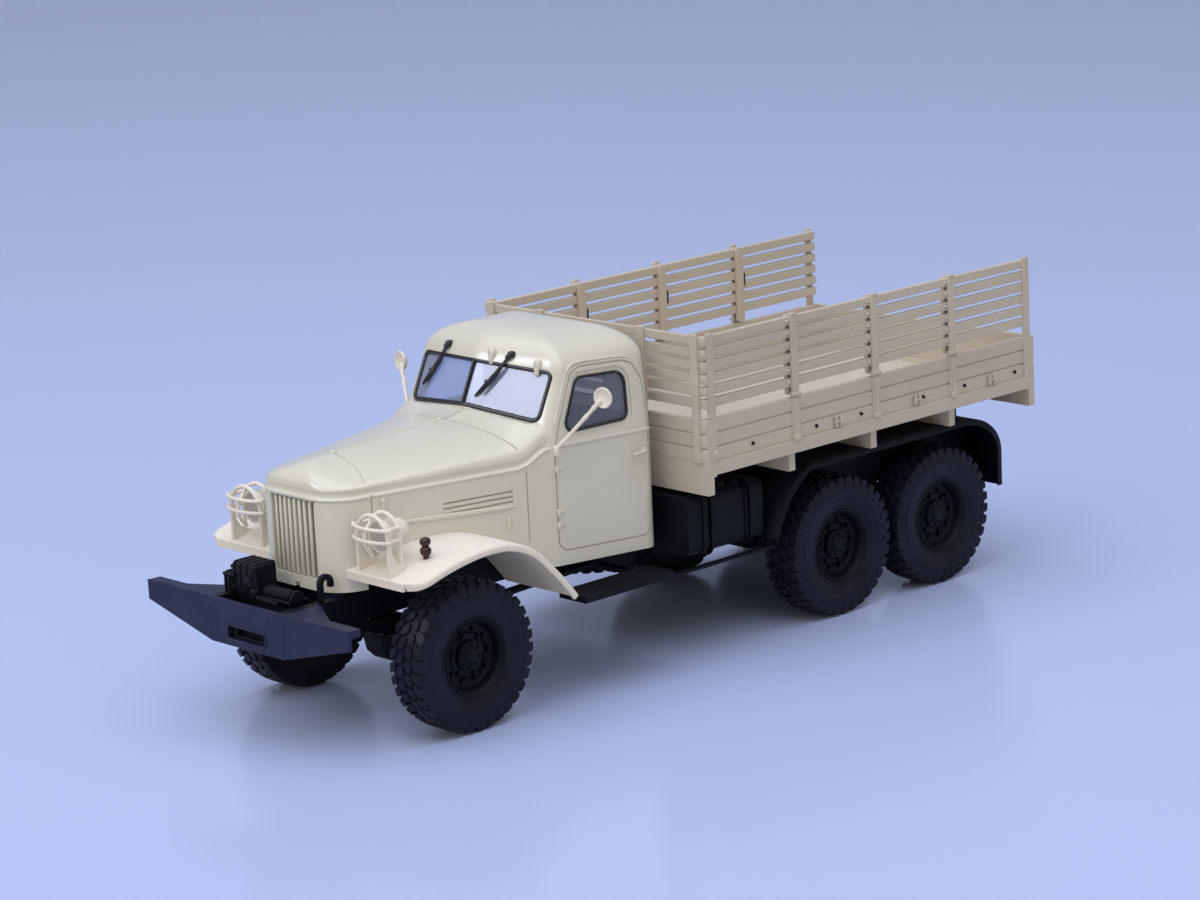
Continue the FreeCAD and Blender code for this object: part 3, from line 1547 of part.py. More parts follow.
def wiper(pivot_y):
    """Wiper blade that hangs from the brow and slants to the right, with its pivot."""
    low_y = pivot_y - wiper_slant
    low_z = wiper_top_z - wiper_height
    lift = seal_proud + running_gap
    rings = []
    for y, z in ((low_y, low_z), (pivot_y, wiper_top_z)):
        x = screen_x(y, z) + lift
        rings.append([Vector(x, y, z), Vector(x + wiper_bar, y, z),
                      Vector(x + wiper_bar, y + wiper_bar, z), Vector(x, y + wiper_bar, z)])
    blade = flat_sided(rings)
    x = screen_x(pivot_y, wiper_top_z) + lift
    high = wiper_top_z + wiper_pivot_height
    pivot = box(x - wiper_pivot_width, x + wiper_bar, pivot_y - wiper_bar,
                pivot_y + wiper_pivot_width - wiper_bar, wiper_top_z, high)
    return joined(blade, pivot)


def wipers():
    """Both wipers, their pivots seated on the brow above the glass."""
    brow = cab_volume(-seat_gap)
    return [wiper(y).cut(brow) for y in wiper_pivots_y]


def mirror():
    """Left mirror: arm from the cab's side and a round head."""
    head = Vector(*mirror_head)
    foot = Vector(mirror_foot[0], cab_half_width, mirror_foot[1])
    arm = rod(tuple(foot), tuple(head), mirror_arm_radius)
    base = rod((foot.x, cab_half_width, foot.z),
               (foot.x, cab_half_width + mirror_base_height, foot.z), mirror_base_radius)
    half = mirror_thickness / 2
    disc = rod((head.x - half, head.y, head.z), (head.x + half, head.y, head.z), mirror_radius)
    inside = box(0, wide, -cab_half_width, cab_half_width, 0, wide)
    return joined(arm.cut(inside), base, disc)


# Cargo bed


def even_places(start, end, count):
    """Evenly spread places from one end to the other."""
    return [start + (end - start) * index / (count - 1) for index in range(count)]


def board_seams(low, high):
    """Heights of the narrow grooves between the boards of a panel."""
    height = (high - low) / side_board_count
    return [low + index * height for index in range(1, side_board_count)]


def bed_inner_y():
    """Inner face of the side boards."""
    return bed_half_width - post_proud - bed_board


def bed_floor():
    """Bed floor, the rail round its edge and the cross beams under it."""
    floor_low = floor_top_z - bed_floor_thickness
    plate = box(bed_rear_x, bed_front_x, -bed_half_width, bed_half_width, floor_low,
                bed_rail_top_z)
    inner_y = bed_inner_y() - bed_board_lap
    end_inset = bed_board + bed_board_lap
    load = box(bed_rear_x + end_inset, bed_front_x - end_inset, -inner_y, inner_y,
               floor_top_z, bed_rail_top_z)
    pieces = [plate.cut(load)]
    beam_half = bed_half_width - beam_end_inset
    middles = even_places(bed_rear_x + beam_width / 2, bed_front_x - beam_width / 2,
                          beam_count + 2)
    for x in middles[1:-1]:
        pieces.append(box(x - beam_width / 2, x + beam_width / 2, -beam_half, beam_half,
                          beam_low_z, floor_low))
    for x in (middles[0], middles[-1]):
        pieces.append(box(x - beam_width / 2, x + beam_width / 2, -bed_half_width,
                          bed_half_width, beam_low_z, floor_low))
    return joined(*pieces)


def bed_sills():
    """Two long sills between the frame rails and the bed's cross beams."""
    sill = box(bed_rear_x + beam_width, bed_front_x, sill_half_gap, sill_half_gap + sill_width,
               rail_top_z, beam_low_z)
    return [sill, mirrored(sill)]


def lattice_post_places():
    """Middles of the posts along a side of the bed."""
    inset = bed_board + lattice_post_width / 2
    return even_places(bed_front_x - inset, bed_rear_x + inset, lattice_post_count)


def bed_side():
    """Left side boards with straps outside."""
    outer = bed_half_width - post_proud
    start, end = bed_rear_x + bed_board, bed_front_x - bed_board
    panel = box(start, end, outer - bed_board, outer, bed_rail_top_z, side_top_z)
    half_groove = board_groove / 2
    for z in board_seams(bed_rail_top_z, side_top_z):
        panel = panel.cut(box(start, end, outer - board_groove, outer,
                              z - half_groove, z + half_groove))
    half = lattice_post_width / 2
    straps = [box(x - half, x + half, outer, bed_half_width, bed_rail_top_z, side_top_z)
              for x in lattice_post_places()]
    return joined(panel, *straps)


def lattice_rows():
    """Lowest height of each slat."""
    return [lattice_low_z + index * slat_pitch for index in range(slat_count)]


def lattice_top():
    """Top of the posts, a little above the highest slat."""
    return lattice_rows()[-1] + slat_height + lattice_post_rise


def bed_lattice():
    """Left slatted rack: level slats inside posts that stand on the side boards' straps."""
    outer = bed_half_width - post_proud
    start, end = bed_rear_x + bed_board, bed_front_x - bed_board
    half = lattice_post_width / 2
    pieces = [box(start, end, outer - bed_board, outer, z, z + slat_height)
              for z in lattice_rows()]
    pieces += [box(x - half, x + half, outer, bed_half_width, side_top_z, lattice_top())
               for x in lattice_post_places()]
    return joined(*pieces)


def head_post_places():
    """Middles of the headboard's posts, two at the corners and two by the cab."""
    corner = bed_half_width - head_post_inset
    return (-corner, -head_post_spacing, head_post_spacing, corner)


def headboard():
    """Front wall of the bed: boards below, slats above, posts in front."""
    front, back = bed_front_x, bed_front_x - bed_board
    half_width = bed_half_width
    panel = box(back, front, -half_width, half_width, bed_rail_top_z, side_top_z)
    half_groove = board_groove / 2
    for z in board_seams(bed_rail_top_z, side_top_z):
        panel = panel.cut(box(front - board_groove, front, -half_width, half_width,
                              z - half_groove, z + half_groove))
    slat_front = front - head_slat_step
    pieces = [panel]
    pieces += [box(back, slat_front, -half_width, half_width, z, z + slat_height)
               for z in lattice_rows()]
    half = lattice_post_width / 2
    for y in head_post_places():
        pieces.append(box(front, front + post_proud, y - half, y + half, bed_rail_top_z,
                          lattice_top()))
        pieces.append(box(slat_front, front, y - half, y + half, side_top_z, lattice_top()))
    return joined(*pieces)


def tailgate():
    """Rear gate of boards with hinge straps."""
    rear, inner = bed_rear_x, bed_rear_x + bed_board
    half_width = bed_half_width
    panel = box(rear, inner, -half_width, half_width, bed_rail_top_z, side_top_z)
    half_groove = board_groove / 2
    for z in board_seams(bed_rail_top_z, side_top_z):
        panel = panel.cut(box(rear, rear + board_groove, -half_width, half_width,
                              z - half_groove, z + half_groove))
    half = tail_strap_width / 2
    reach = tail_strap_spacing * (tail_strap_count - 1) / 2
    straps = [box(rear_end_x, rear, y - half, y + half, beam_low_z + tail_strap_rise, side_top_z)
              for y in even_places(-reach, reach, tail_strap_count)]
    return joined(panel, *straps)


def mudguard():
    """Left mudguard over both rear wheels: arc in front, level top, flap behind."""
    top_z = beam_low_z
    radius = mudguard_radius
    front_angle = math.asin((mudguard_front_low_z - axle_z) / radius)
    top_angle = math.asin((top_z - axle_z) / radius)
    inner_radius = radius - mudguard_skin
    level_low = top_z - mudguard_skin
    inner_angle = math.asin((level_low - axle_z) / inner_radius)

    def arc(reach, last_angle):
        angles = [front_angle + (last_angle - front_angle) * index / mudguard_steps
                  for index in range(mudguard_steps + 1)]
        return [(middle_axle_x + reach * math.cos(angle), axle_z + reach * math.sin(angle))
                for angle in angles]

    rear_x = rear_axle_x - mudguard_rear_reach
    outline = arc(radius, top_angle)
    outline += [(rear_x, top_z), (rear_x, mudguard_rear_low_z),
                (rear_x + mudguard_skin, mudguard_rear_low_z), (rear_x + mudguard_skin, level_low)]
    outline += arc(inner_radius, inner_angle)[::-1]
    return plate_along_y(outline, mudguard_inner_y, mudguard_outer_y)


def tail_lamp():
    """Left tail lamp on the rear beam."""
    y = bed_half_width - tail_lamp_inset
    return rod((bed_rear_x - tail_lamp_depth, y, tail_lamp_z), (bed_rear_x, y, tail_lamp_z),
               tail_lamp_radius)


def build_all():
    """Write every sub-part."""
    plain_tyre, plain_rim = tyre(), rim()
    axles = {"front": front_axle_x, "middle": middle_axle_x, "rear": rear_axle_x}
    for place, x in axles.items():
        for side_name, side in (("left", 1), ("right", -1)):
            write("tyre_" + place + "_" + side_name, placed_wheel(plain_tyre, x, side))
            write("rim_" + place + "_" + side_name, placed_wheel(plain_rim, x, side))
    write("axle_front", steered_axle())
    write("axle_middle", driven_axle(middle_axle_x))
    write("axle_rear", driven_axle(rear_axle_x))
    write("knuckle_left", knuckle())
    write("knuckle_right", mirrored(knuckle()))
    write("tie_rod", tie_rod())
    write("chassis_frame", chassis_frame())
    write("front_bumper", front_bumper())
    write("winch", winch())
    write("tow_hooks", *tow_hooks())
    write("engine_block", engine_block())
    write("transfer_case", transfer_case())
    write("drive_shafts", *drive_shafts())
    spring = front_spring()
    write("front_springs", spring, mirrored(spring))
    spring = rear_spring()
    write("rear_springs", spring, mirrored(spring))
    write("exhaust", exhaust())
    write("fuel_tank", fuel_tank())
    write("spare_tyre", spare_piece(plain_tyre))
    write("spare_rim", spare_piece(plain_rim))
    write("spare_carrier", spare_carrier())
    step = running_board()
    write("running_boards", joined(step, side_bar()), mirrored(step))
    write("cab_shell", cab_shell())
    write("grille", grille())
    left_fender = fender()
    write("fender_left", left_fender)
    write("fender_right", mirrored(left_fender))
    lamp = lamp_with_guard()
    write("headlamps", lamp, mirrored(lamp))
    write("lamp_lenses", lamp_lens(), mirrored(lamp_lens()))
    write("marker_lamps", marker_lamp(), mirrored(marker_lamp()))
    write("windscreen_gasket", windscreen_gasket())
    write("windscreen_glass", windscreen_glass())
    write("window_seals", *window_seals())
    write("cab_glass", *cab_glass())
    write("wipers", *wipers())
    write("mirrors", mirror(), mirrored(mirror()))
    write("bench_seat", bench_seat())
    write("dashboard", dashboard())
    write("steering_wheel", steering_wheel())
    write("bed_floor", bed_floor())
    write("bed_sills", *bed_sills())
    write("headboard", headboard())
    side = bed_side()
    write("bed_side_left", side)
    write("bed_side_right", mirrored(side))
    rack = bed_lattice()
    write("lattice_left", rack)
    write("lattice_right", mirrored(rack))
    write("tailgate", tailgate())
    guard = mudguard()
    write("mudguards", guard, mirrored(guard))
    write("tail_lamps", tail_lamp(), mirrored(tail_lamp()))


build_all()
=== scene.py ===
import bpy
import bmesh
import json
import math
import numpy as np
from mathutils import Vector, Matrix

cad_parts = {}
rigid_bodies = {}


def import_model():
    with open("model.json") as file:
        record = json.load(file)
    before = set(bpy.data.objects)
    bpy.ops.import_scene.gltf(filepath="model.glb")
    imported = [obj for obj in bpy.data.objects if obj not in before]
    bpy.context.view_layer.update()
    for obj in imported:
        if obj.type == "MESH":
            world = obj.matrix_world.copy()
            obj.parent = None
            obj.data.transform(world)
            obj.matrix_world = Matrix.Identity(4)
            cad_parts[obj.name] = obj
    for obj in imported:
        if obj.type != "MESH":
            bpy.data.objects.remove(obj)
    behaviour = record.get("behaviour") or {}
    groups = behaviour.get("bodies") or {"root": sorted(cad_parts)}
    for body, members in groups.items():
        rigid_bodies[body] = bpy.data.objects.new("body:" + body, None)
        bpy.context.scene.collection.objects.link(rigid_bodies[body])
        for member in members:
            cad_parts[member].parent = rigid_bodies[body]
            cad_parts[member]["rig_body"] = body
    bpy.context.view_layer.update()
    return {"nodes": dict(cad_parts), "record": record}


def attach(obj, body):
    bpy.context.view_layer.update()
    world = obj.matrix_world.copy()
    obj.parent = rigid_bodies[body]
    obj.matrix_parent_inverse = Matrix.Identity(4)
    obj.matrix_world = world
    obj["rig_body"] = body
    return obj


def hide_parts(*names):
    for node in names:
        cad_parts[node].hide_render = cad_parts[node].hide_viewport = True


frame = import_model()
nodes = frame["nodes"]
mm = 0.001


# Materials

# Gives each input of a node a plain value, or a link where the value is another node's socket.
def feed(tree, node, inputs):
    for name, value in inputs.items():
        if isinstance(value, bpy.types.NodeSocket):
            tree.links.new(value, node.inputs[name])
        else:
            node.inputs[name].default_value = value


# A new node with its inputs fed; returns one of its outputs.
def addNode(tree, kind, inputs, output):
    node = tree.nodes.new("ShaderNode" + kind)
    feed(tree, node, inputs)
    return node.outputs[output]


# Material with a Principled shader, its node tree and its object coordinates.
def newMaterial(name):
    mat = bpy.data.materials.new(name)
    mat.use_nodes = True
    tree = mat.node_tree
    return mat, tree, tree.nodes["Principled BSDF"], addNode(tree, "TexCoord", {}, "Object")


# Noise of a scale over a place that may be stretched first.
def noise(tree, place, scale, detail=3.0, stretch=None):
    if stretch:
        place = addNode(tree, "Mapping", {"Scale": stretch, "Vector": place}, "Vector")
    return addNode(tree, "TexNoise", {"Scale": scale, "Detail": detail, "Vector": place}, "Fac")


# Runs from the first tone to the second between two stops of a value.
def ramp(tree, value, stops, tones):
    colour = addNode(tree, "ValToRGB", {"Fac": value}, "Color")
    for element, at, tone in zip(colour.node.color_ramp.elements, stops, tones):
        element.position = at
        element.color = (*tone, 1.0)
    return colour


# A value from 0 to 1 laid evenly over low to high.
def spread(tree, value, low, high):
    return addNode(tree, "MapRange", {"To Min": low, "To Max": high, "Value": value}, "Result")


# Mixes by a factor: a plain tone at 0, another socket's colour at 1.
def blend(tree, factor, tone, colour):
    mixed = addNode(tree, "Mix", {}, 2)
    mixed.node.data_type = "RGBA"
    feed(tree, mixed.node, {"Factor": factor, 6: (*tone, 1.0), 7: colour})
    return mixed


# Moulded or sprayed finish: two close tones in soft clouds, fine orange peel that tilts the surface by its
# slope, gloss that follows the same grain.
def paint(name, look):
    mat, tree, shader, place = newMaterial(name)
    clouds = noise(tree, place, look["cloudScale"], 4.0, look.get("stretch"))
    grain = noise(tree, place, look["grainScale"], 2.0)
    strength, depth = look["bump"]
    bump = addNode(tree, "Bump", {"Strength": strength, "Distance": depth, "Height": grain}, "Normal")
    feed(tree, shader, {"Base Color": ramp(tree, clouds, (0.35, 0.65), look["tones"]), "Normal": bump,
                        "Roughness": spread(tree, grain, *look["gloss"]), **look.get("sockets", {})})
    return mat


looks = {
    "cabPaint": dict(tones=((0.70, 0.695, 0.60), (0.74, 0.735, 0.64)), cloudScale=30, grainScale=1500,
                     gloss=(0.28, 0.34), bump=(0.015, 0.00003),
                     sockets={"Coat Weight": 0.4, "Coat Roughness": 0.15}),
    "fenderPlastic": dict(tones=((0.84, 0.79, 0.72), (0.88, 0.83, 0.76)), cloudScale=40, grainScale=2500,
                          gloss=(0.48, 0.62), bump=(0.12, 0.00005), sockets={"Specular IOR Level": 0.4}),
    "bedPlastic": dict(tones=((0.56, 0.50, 0.425), (0.62, 0.555, 0.475)), cloudScale=60, grainScale=2200,
                       gloss=(0.5, 0.66), bump=(0.14, 0.00006), sockets={"Specular IOR Level": 0.4},
                       stretch=(0.25, 0.25, 1.6)),
    "chassisPlastic": dict(tones=((0.0026, 0.0036, 0.0075), (0.005, 0.0065, 0.0125)), cloudScale=120,
                           grainScale=2600, gloss=(0.38, 0.54), bump=(0.12, 0.00005),
                           sockets={"Specular IOR Level": 0.16}),
    "tyreRubber": dict(tones=((0.0056, 0.0066, 0.0165), (0.010, 0.0118, 0.027)), cloudScale=160,
                       grainScale=2400, gloss=(0.42, 0.58), bump=(0.2, 0.00006),
                       sockets={"Specular IOR Level": 0.2}),
    "bumperSlate": dict(tones=((0.0105, 0.0145, 0.050), (0.0155, 0.0205, 0.067)), cloudScale=150,
                        grainScale=2600, gloss=(0.34, 0.48), bump=(0.12, 0.00005),
                        sockets={"Specular IOR Level": 0.3}),
    "sealRubber": dict(tones=((0.012, 0.012, 0.016), (0.018, 0.018, 0.024)), cloudScale=200, grainScale=2600,
                       gloss=(0.22, 0.34), bump=(0.06, 0.00004)),
    "interiorPlastic": dict(tones=((0.045, 0.045, 0.05), (0.06, 0.06, 0.066)), cloudScale=120,
                            grainScale=2200, gloss=(0.5, 0.65), bump=(0.15, 0.00005)),
    "markerPaint": dict(tones=((0.030, 0.007, 0.006), (0.05, 0.012, 0.01)), cloudScale=200, grainScale=2000,
                        gloss=(0.16, 0.26), bump=(0.03, 0.00003)),
}
finish = {name: paint(name, look) for name, look in looks.items()}

# Pale blue panes: the tone tints the light passing through, and the share that is not transmitted shows it as
# painted reflection of the blue surroundings.
panes = {
    "clearGlass": dict(haze=90, tones=((0.74, 0.80, 0.99), (0.80, 0.85, 1.0)), gloss=(0.015, 0.05),
                       sockets={"Transmission Weight": 0.92, "IOR": 1.46, "Specular IOR Level": 0.75}),
    "filmGlass": dict(haze=140, tones=((0.62, 0.71, 0.98), (0.68, 0.76, 1.0)), gloss=(0.02, 0.06),
                      sockets={"Transmission Weight": 0.68, "IOR": 1.46, "Specular IOR Level": 0.75}),
    "lensPlastic": dict(haze=400, tones=((0.50, 0.51, 0.50), (0.58, 0.59, 0.58)), gloss=(0.06, 0.14),
                        sockets={"Alpha": 0.3}),
}


# Clear moulding: tint and gloss both follow one faint haze. The pale blue tone's non-transmitted share is
# painted reflection of the blue surroundings, larger in the screen's panes than in the other glass; the lens
# is thin.
def clearPlastic(name, look):
    mat, tree, shader, place = newMaterial(name)
    haze = noise(tree, place, look["haze"])
    feed(tree, shader, {"Base Color": ramp(tree, haze, (0.3, 0.7), look["tones"]),
                        "Roughness": spread(tree, haze, *look["gloss"]), **look["sockets"]})
    return mat


for name, look in panes.items():
    finish[name] = clearPlastic(name, look)

# Painted shade for the grille: a dark tone on the bars' sides behind their noses stands in for the shadow in
# the gaps between bars.
grilleShade = dict(near=0.0684, far=0.0691, tone=(0.055, 0.06, 0.035))


# Cab paint that turns to a dark painted shade behind the bars' noses, evenly from far to near along X in
# metres; the dark tone stands in for the shadow on the bars' sides deep in the gaps.
def grillePaintShaded():
    mat = paint("grillePaintShaded", looks["cabPaint"])
    tree = mat.node_tree
    shader = tree.nodes["Principled BSDF"]
    split = addNode(tree, "SeparateXYZ", {0: addNode(tree, "TexCoord", {}, "Object")}, "X")
    depth = spread(tree, split, 0.0, 1.0)
    feed(tree, depth.node, {"From Min": grilleShade["near"], "From Max": grilleShade["far"]})
    painted = shader.inputs["Base Color"].links[0].from_socket
    feed(tree, shader, {"Base Color": blend(tree, depth, grilleShade["tone"], painted)})
    return mat


finish["grillePaintShaded"] = grillePaintShaded()
print("materials ready")

slotFinish = {
    "cab_paint": "cabPaint", "body_plastic": "fenderPlastic", "bed_plastic": "bedPlastic",
    "chassis_black": "chassisPlastic", "tyre_rubber": "tyreRubber", "bumper_slate": "bumperSlate",
    "clear_glass": "clearGlass", "black_seal": "sealRubber", "interior_dark": "interiorPlastic",
    "marker_maroon": "markerPaint",
}
nodeSlot = {part["node"]: part["material_slot"] for part in frame["record"]["subparts"]}
for name, obj in nodes.items():
    obj.data.materials.clear()
    obj.data.materials.append(finish[slotFinish[nodeSlot[name]]])


# Mesh helpers

# An object with its data, linked to the scene.
def newObject(name, data):
    obj = bpy.data.objects.new(name, data)
    bpy.context.scene.collection.objects.link(obj)
    return obj


# Mesh from points in mm and faces, points nearer than a distance merged, faces turned outwards.
def cleanMesh(name, shape, near):
    mesh = bpy.data.meshes.new(name)
    points, faces = shape
    mesh.from_pydata((points * mm).tolist(), [], faces)
    work = bmesh.new()
    work.from_mesh(mesh)
    bmesh.ops.remove_doubles(work, verts=work.verts, dist=near)
    bmesh.ops.recalc_face_normals(work, faces=work.faces)
    work.to_mesh(mesh)
    work.free()
    return mesh


# A mesh as a piece: finish, faces smooth below an angle, body it rides, slot and nodes it replaces.
def finishPiece(name, mesh, slotName, replaced=(), smooth=40.0, body="root", look=None):
    mesh.materials.clear()
    mesh.materials.append(finish[look or slotFinish[slotName]])
    mesh.shade_smooth()
    mesh.set_sharp_from_angle(angle=math.radians(smooth))
    obj = newObject(name, mesh)
    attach(obj, body)
    if replaced:
        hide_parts(*replaced)
    return obj


# A shape of points and faces as a piece.
def putPiece(name, shape, *details, **others):
    return finishPiece(name, cleanMesh(name, shape, 2e-7), *details, **others)


# Copy of a CAD node's mesh with its doubles merged and its flat faces joined.
def merged(obj):
    work = bmesh.new()
    work.from_mesh(obj.data)
    bmesh.ops.remove_doubles(work, verts=work.verts, dist=2e-6)
    bmesh.ops.dissolve_limit(work, angle_limit=math.radians(0.5), verts=work.verts, edges=work.edges)
    mesh = bpy.data.meshes.new(obj.name)
    work.to_mesh(mesh)
    work.free()
    return mesh


# A CAD node with its edges rounded as a moulding's are.
def softened(node, pieceName, width, segments=2, smooth=40.0):
    obj = finishPiece(pieceName, merged(nodes[node]), nodeSlot[node], [node], smooth, nodes[node]["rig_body"])
    bevel = obj.modifiers.new("edges", "BEVEL")
    bevel.width = width * mm
    bevel.segments = segments
    bevel.limit_method = "ANGLE"
    bevel.angle_limit = math.radians(smooth)
    bevel.harden_normals = False
    return obj


softNodes = {
    "bed_floor": ("bedFloor", 0.12), "bed_side_left": ("bedSideLeft", 0.09),
    "bed_side_right": ("bedSideRight", 0.09), "lattice_left": ("latticeLeft", 0.12),
    "lattice_right": ("latticeRight", 0.12), "headboard": ("headboardPanel", 0.09),
    "tailgate": ("tailgatePanel", 0.09), "bed_sills": ("bedSills", 0.1),
    "front_bumper": ("frontBumper", 0.08), "chassis_frame": ("chassisFrame", 0.07),
    "fuel_tank": ("fuelTank", 0.1),
    "engine_block": ("engineBlock", 0.2), "transfer_case": ("transferBox", 0.3),
    "front_springs": ("frontSprings", 0.06), "rear_springs": ("rearSprings", 0.06),
    "bench_seat": ("benchSeat", 0.6), "dashboard": ("dashPanel", 0.3),
    "running_boards": ("runningBoards", 0.1), "spare_carrier": ("spareCarrier", 0.1),
    "knuckle_left": ("knuckleLeft", 0.2), "knuckle_right": ("knuckleRight", 0.2), "tie_rod": ("tieRod", 0.12),
}
for node, (pieceName, width) in softNodes.items():
    softened(node, pieceName, width)
print("softened pieces", len(softNodes))


# Shape helpers, all in mm

# Quads between neighbouring points of a (rows, columns, 3) grid; a closed way joins its ends.
def patch(grid, closeU=False, closeV=False):
    rows, cols = grid.shape[:2]
    index = np.arange(rows * cols).reshape(rows, cols)
    if closeU:
        index = np.vstack([index, index[:1]])
    if closeV:
        index = np.hstack([index, index[:, :1]])
    quads = np.stack([index[:-1, :-1], index[:-1, 1:], index[1:, 1:], index[1:, :-1]], -1)
    return grid.reshape(-1, 3), quads.reshape(-1, 4).tolist()


# Closed solid through a (levels, around, 3) array of rings, with a flat lid at each end.
def stack(rings):
    points, faces = patch(rings, closeV=True)
    count = rings.shape[1]
    last = (rings.shape[0] - 1) * count
    faces.append(list(range(count))[::-1])
    faces.append(list(range(last, last + count)))
    return points, faces


# Several (points, faces) shapes as one.
def gather(parts):
    points, faces, start = [], [], 0
    for partPoints, partFaces in parts:
        points.append(partPoints)
        faces += [[i + start for i in face] for face in partFaces]
        start += len(partPoints)
    return np.vstack(points), faces


# The same shape on the truck's other side.
def flipY(shape):
    points, faces = shape
    return points * (1, -1, 1), [face[::-1] for face in faces]


# A shape with its mirror image.
def bothSides(shape):
    return gather([shape, flipY(shape)])


# A flat outline in space: its two numbers fill the other two axes, and a level fills this one.
def laid(outline, axis, level):
    return np.insert(np.asarray(outline, float), "xyz".index(axis), level, axis=1)


# Solid between two or more leaves, each the outline set in space at its level by a leaf function.
def between(leaf, outline, levels):
    return stack(np.array([leaf(outline, level) for level in levels]))


# Straight solid: an outline pushed along an axis from the first level to the last.
def pushed(outline, axis, levels):
    return between(lambda flat, level: laid(flat, axis, level), outline, levels)


# Corners of a rectangle that reaches a half to both sides, from low to high.
def box(half, low, high):
    return [(-half, low), (half, low), (half, high), (-half, high)]


# A block between two values along each axis.
def slab(x0, x1, y0, y1, z0, z1):
    return pushed([(x0, y0), (x1, y0), (x1, y1), (x0, y1)], "z", (z0, z1))


# Vectors divided by their lengths, along the last axis.
def unit(vectors):
    return vectors / np.linalg.norm(vectors, axis=-1, keepdims=True)


# Closed outline: each corner becomes an arc that touches both of its sides. Its centre lies on the corner's
# bisector, at the radius over the sine of half the angle; points go from arm to arm at equal angles.
def roundedPlan(corners, radii, steps=8):
    corners = np.asarray(corners, float)
    rows = []
    for i, corner in enumerate(corners):
        radius = radii[i]
        if radius <= 0:
            rows.append(corner[None])
            continue
        before, after = unit(corners[i - 1] - corner), unit(corners[(i + 1) % len(corners)] - corner)
        half = math.acos(np.clip(before @ after, -1, 1)) / 2
        centre = corner + unit(before + after) * radius / math.sin(half)
        start = corner + before * radius / math.tan(half) - centre
        end = corner + after * radius / math.tan(half) - centre
        sweep = math.acos(np.clip(start @ end / radius ** 2, -1, 1))
        t = np.linspace(0, 1, steps + 1)[:, None]
        rows.append(centre + (start * np.sin((1 - t) * sweep) + end * np.sin(t * sweep)) / math.sin(sweep))
    return np.vstack(rows)


# Points at equal steps along a polyline.
def evenly(path, count, closed=False):
    path = np.asarray(path, float)
    if closed:
        path = np.vstack([path, path[:1]])
    run = np.concatenate([[0], np.cumsum(np.linalg.norm(np.diff(path, axis=0), axis=1))])
    at = np.linspace(0, run[-1], count, endpoint=not closed)
    return np.stack([np.interp(at, run, path[:, k]) for k in range(path.shape[1])], 1)


# Smooth path through a few points: a Catmull-Rom curve, each span a cubic of its four nearest points.
def curveThrough(points, count):
    p = np.asarray(points, float)
    p = np.vstack([2 * p[0] - p[1], p, 2 * p[-1] - p[-2]])
    spans = len(p) - 3
    t = np.linspace(0, spans, count)
    k = np.minimum(t.astype(int), spans - 1)
    u = (t - k)[:, None]
    a, b, c, d = p[k], p[k + 1], p[k + 2], p[k + 3]
    curve = 2 * b + (c - a) * u + (2 * a - 5 * b + 4 * c - d) * u ** 2 + (3 * b - a - 3 * c + d) * u ** 3
    return 0.5 * curve


# A closed (m, 2) profile carried along a path: its first number goes sideways, its second along up.
def sweepAlong(path, profile, up=(0, 0, 1), closed=False, scale=None):
    path, profile = np.asarray(path, float), np.asarray(profile, float)
    ahead = unit(np.roll(path, -1, 0) - np.roll(path, 1, 0) if closed else np.gradient(path, axis=0))
    side = unit(np.cross(ahead, np.broadcast_to(np.asarray(up, float), path.shape)))
    over = np.cross(side, ahead)
    size = np.ones(len(path)) if scale is None else np.asarray(scale)
    grid = path[:, None] + size[:, None, None] * (profile[None, :, :1] * side[:, None]
                                                  + profile[None, :, 1:] * over[:, None])
    if closed:
        return patch(grid, closeU=True, closeV=True)
    return stack(grid)


# Points at equal angles on a circle, its second number flattened by a factor.
def circle(radius, sides, flatten=1.0):
    t = np.linspace(0, 2 * math.pi, sides, endpoint=False)
    return np.stack([radius * np.cos(t), radius * flatten * np.sin(t)], 1)


# Round wire along a path.
def wire(path, radius, sides=8, up=(0, 0, 1), closed=False, scale=None):
    return sweepAlong(path, circle(radius, sides), up, closed, scale)


# Straight round bar through a count of points between two ends.
def rod(start, end, count, radius, sides=8, up=(0, 0, 1)):
    return wire(np.linspace(start, end, count), radius, sides, up)


# Turned form: a closed run of (along, radius) points spun about an axis through a place.
def lathe(profile, place, axis="y", steps=40):
    profile = np.asarray(profile, float)
    t = np.linspace(0, 2 * math.pi, steps, endpoint=False)
    along = np.broadcast_to(profile[None, :, 0], (steps, len(profile)))
    first = profile[None, :, 1] * np.cos(t)[:, None]
    second = profile[None, :, 1] * np.sin(t)[:, None]
    order = {"x": (along, first, second), "y": (second, along, first), "z": (first, second, along)}[axis]
    grid = np.stack(order, -1) + np.asarray(place, float)
    return patch(grid, closeU=True)


# Plain turned drum between two values along its axis.
def drum(start, end, radius, place, axis, steps):
    return lathe([(start, 0), (start, radius), (end, radius), (end, 0)], place, axis, steps)


# Superellipsoid: cosines and sines raised to 2/power and stretched to a reach along each axis.
def pebble(place, reach, power=3.0, across=16, down=8):
    u = np.linspace(-math.pi, math.pi, across, endpoint=False)[None]
    v = np.linspace(-math.pi / 2, math.pi / 2, down + 1)[1:-1, None]

    def bent(value):  # its sign times its size to the power 2/power
        return np.sign(value) * np.abs(value) ** (2 / power)

    grid = np.stack([bent(np.cos(v)) * bent(np.cos(u)), bent(np.cos(v)) * bent(np.sin(u)),
                     bent(np.sin(v)) * np.ones_like(u)], -1) * reach + place
    points, faces = patch(grid, closeV=True)
    rows = grid.shape[0]
    low, high = len(points), len(points) + 1
    poles = np.array([[0, 0, -reach[2]], [0, 0, reach[2]]]) + place
    ring = np.arange(across)
    faces += [[low, (i + 1) % across, i] for i in ring]
    faces += [[high, (rows - 1) * across + i, (rows - 1) * across + (i + 1) % across] for i in ring]
    return np.vstack([points, poles]), faces


# Pebbles at offsets from one place; a row gives offset, reach, power, and counts across and down.
def pebbles(place, rows):
    return [pebble(np.array(place) + offset, *rest) for offset, *rest in rows]


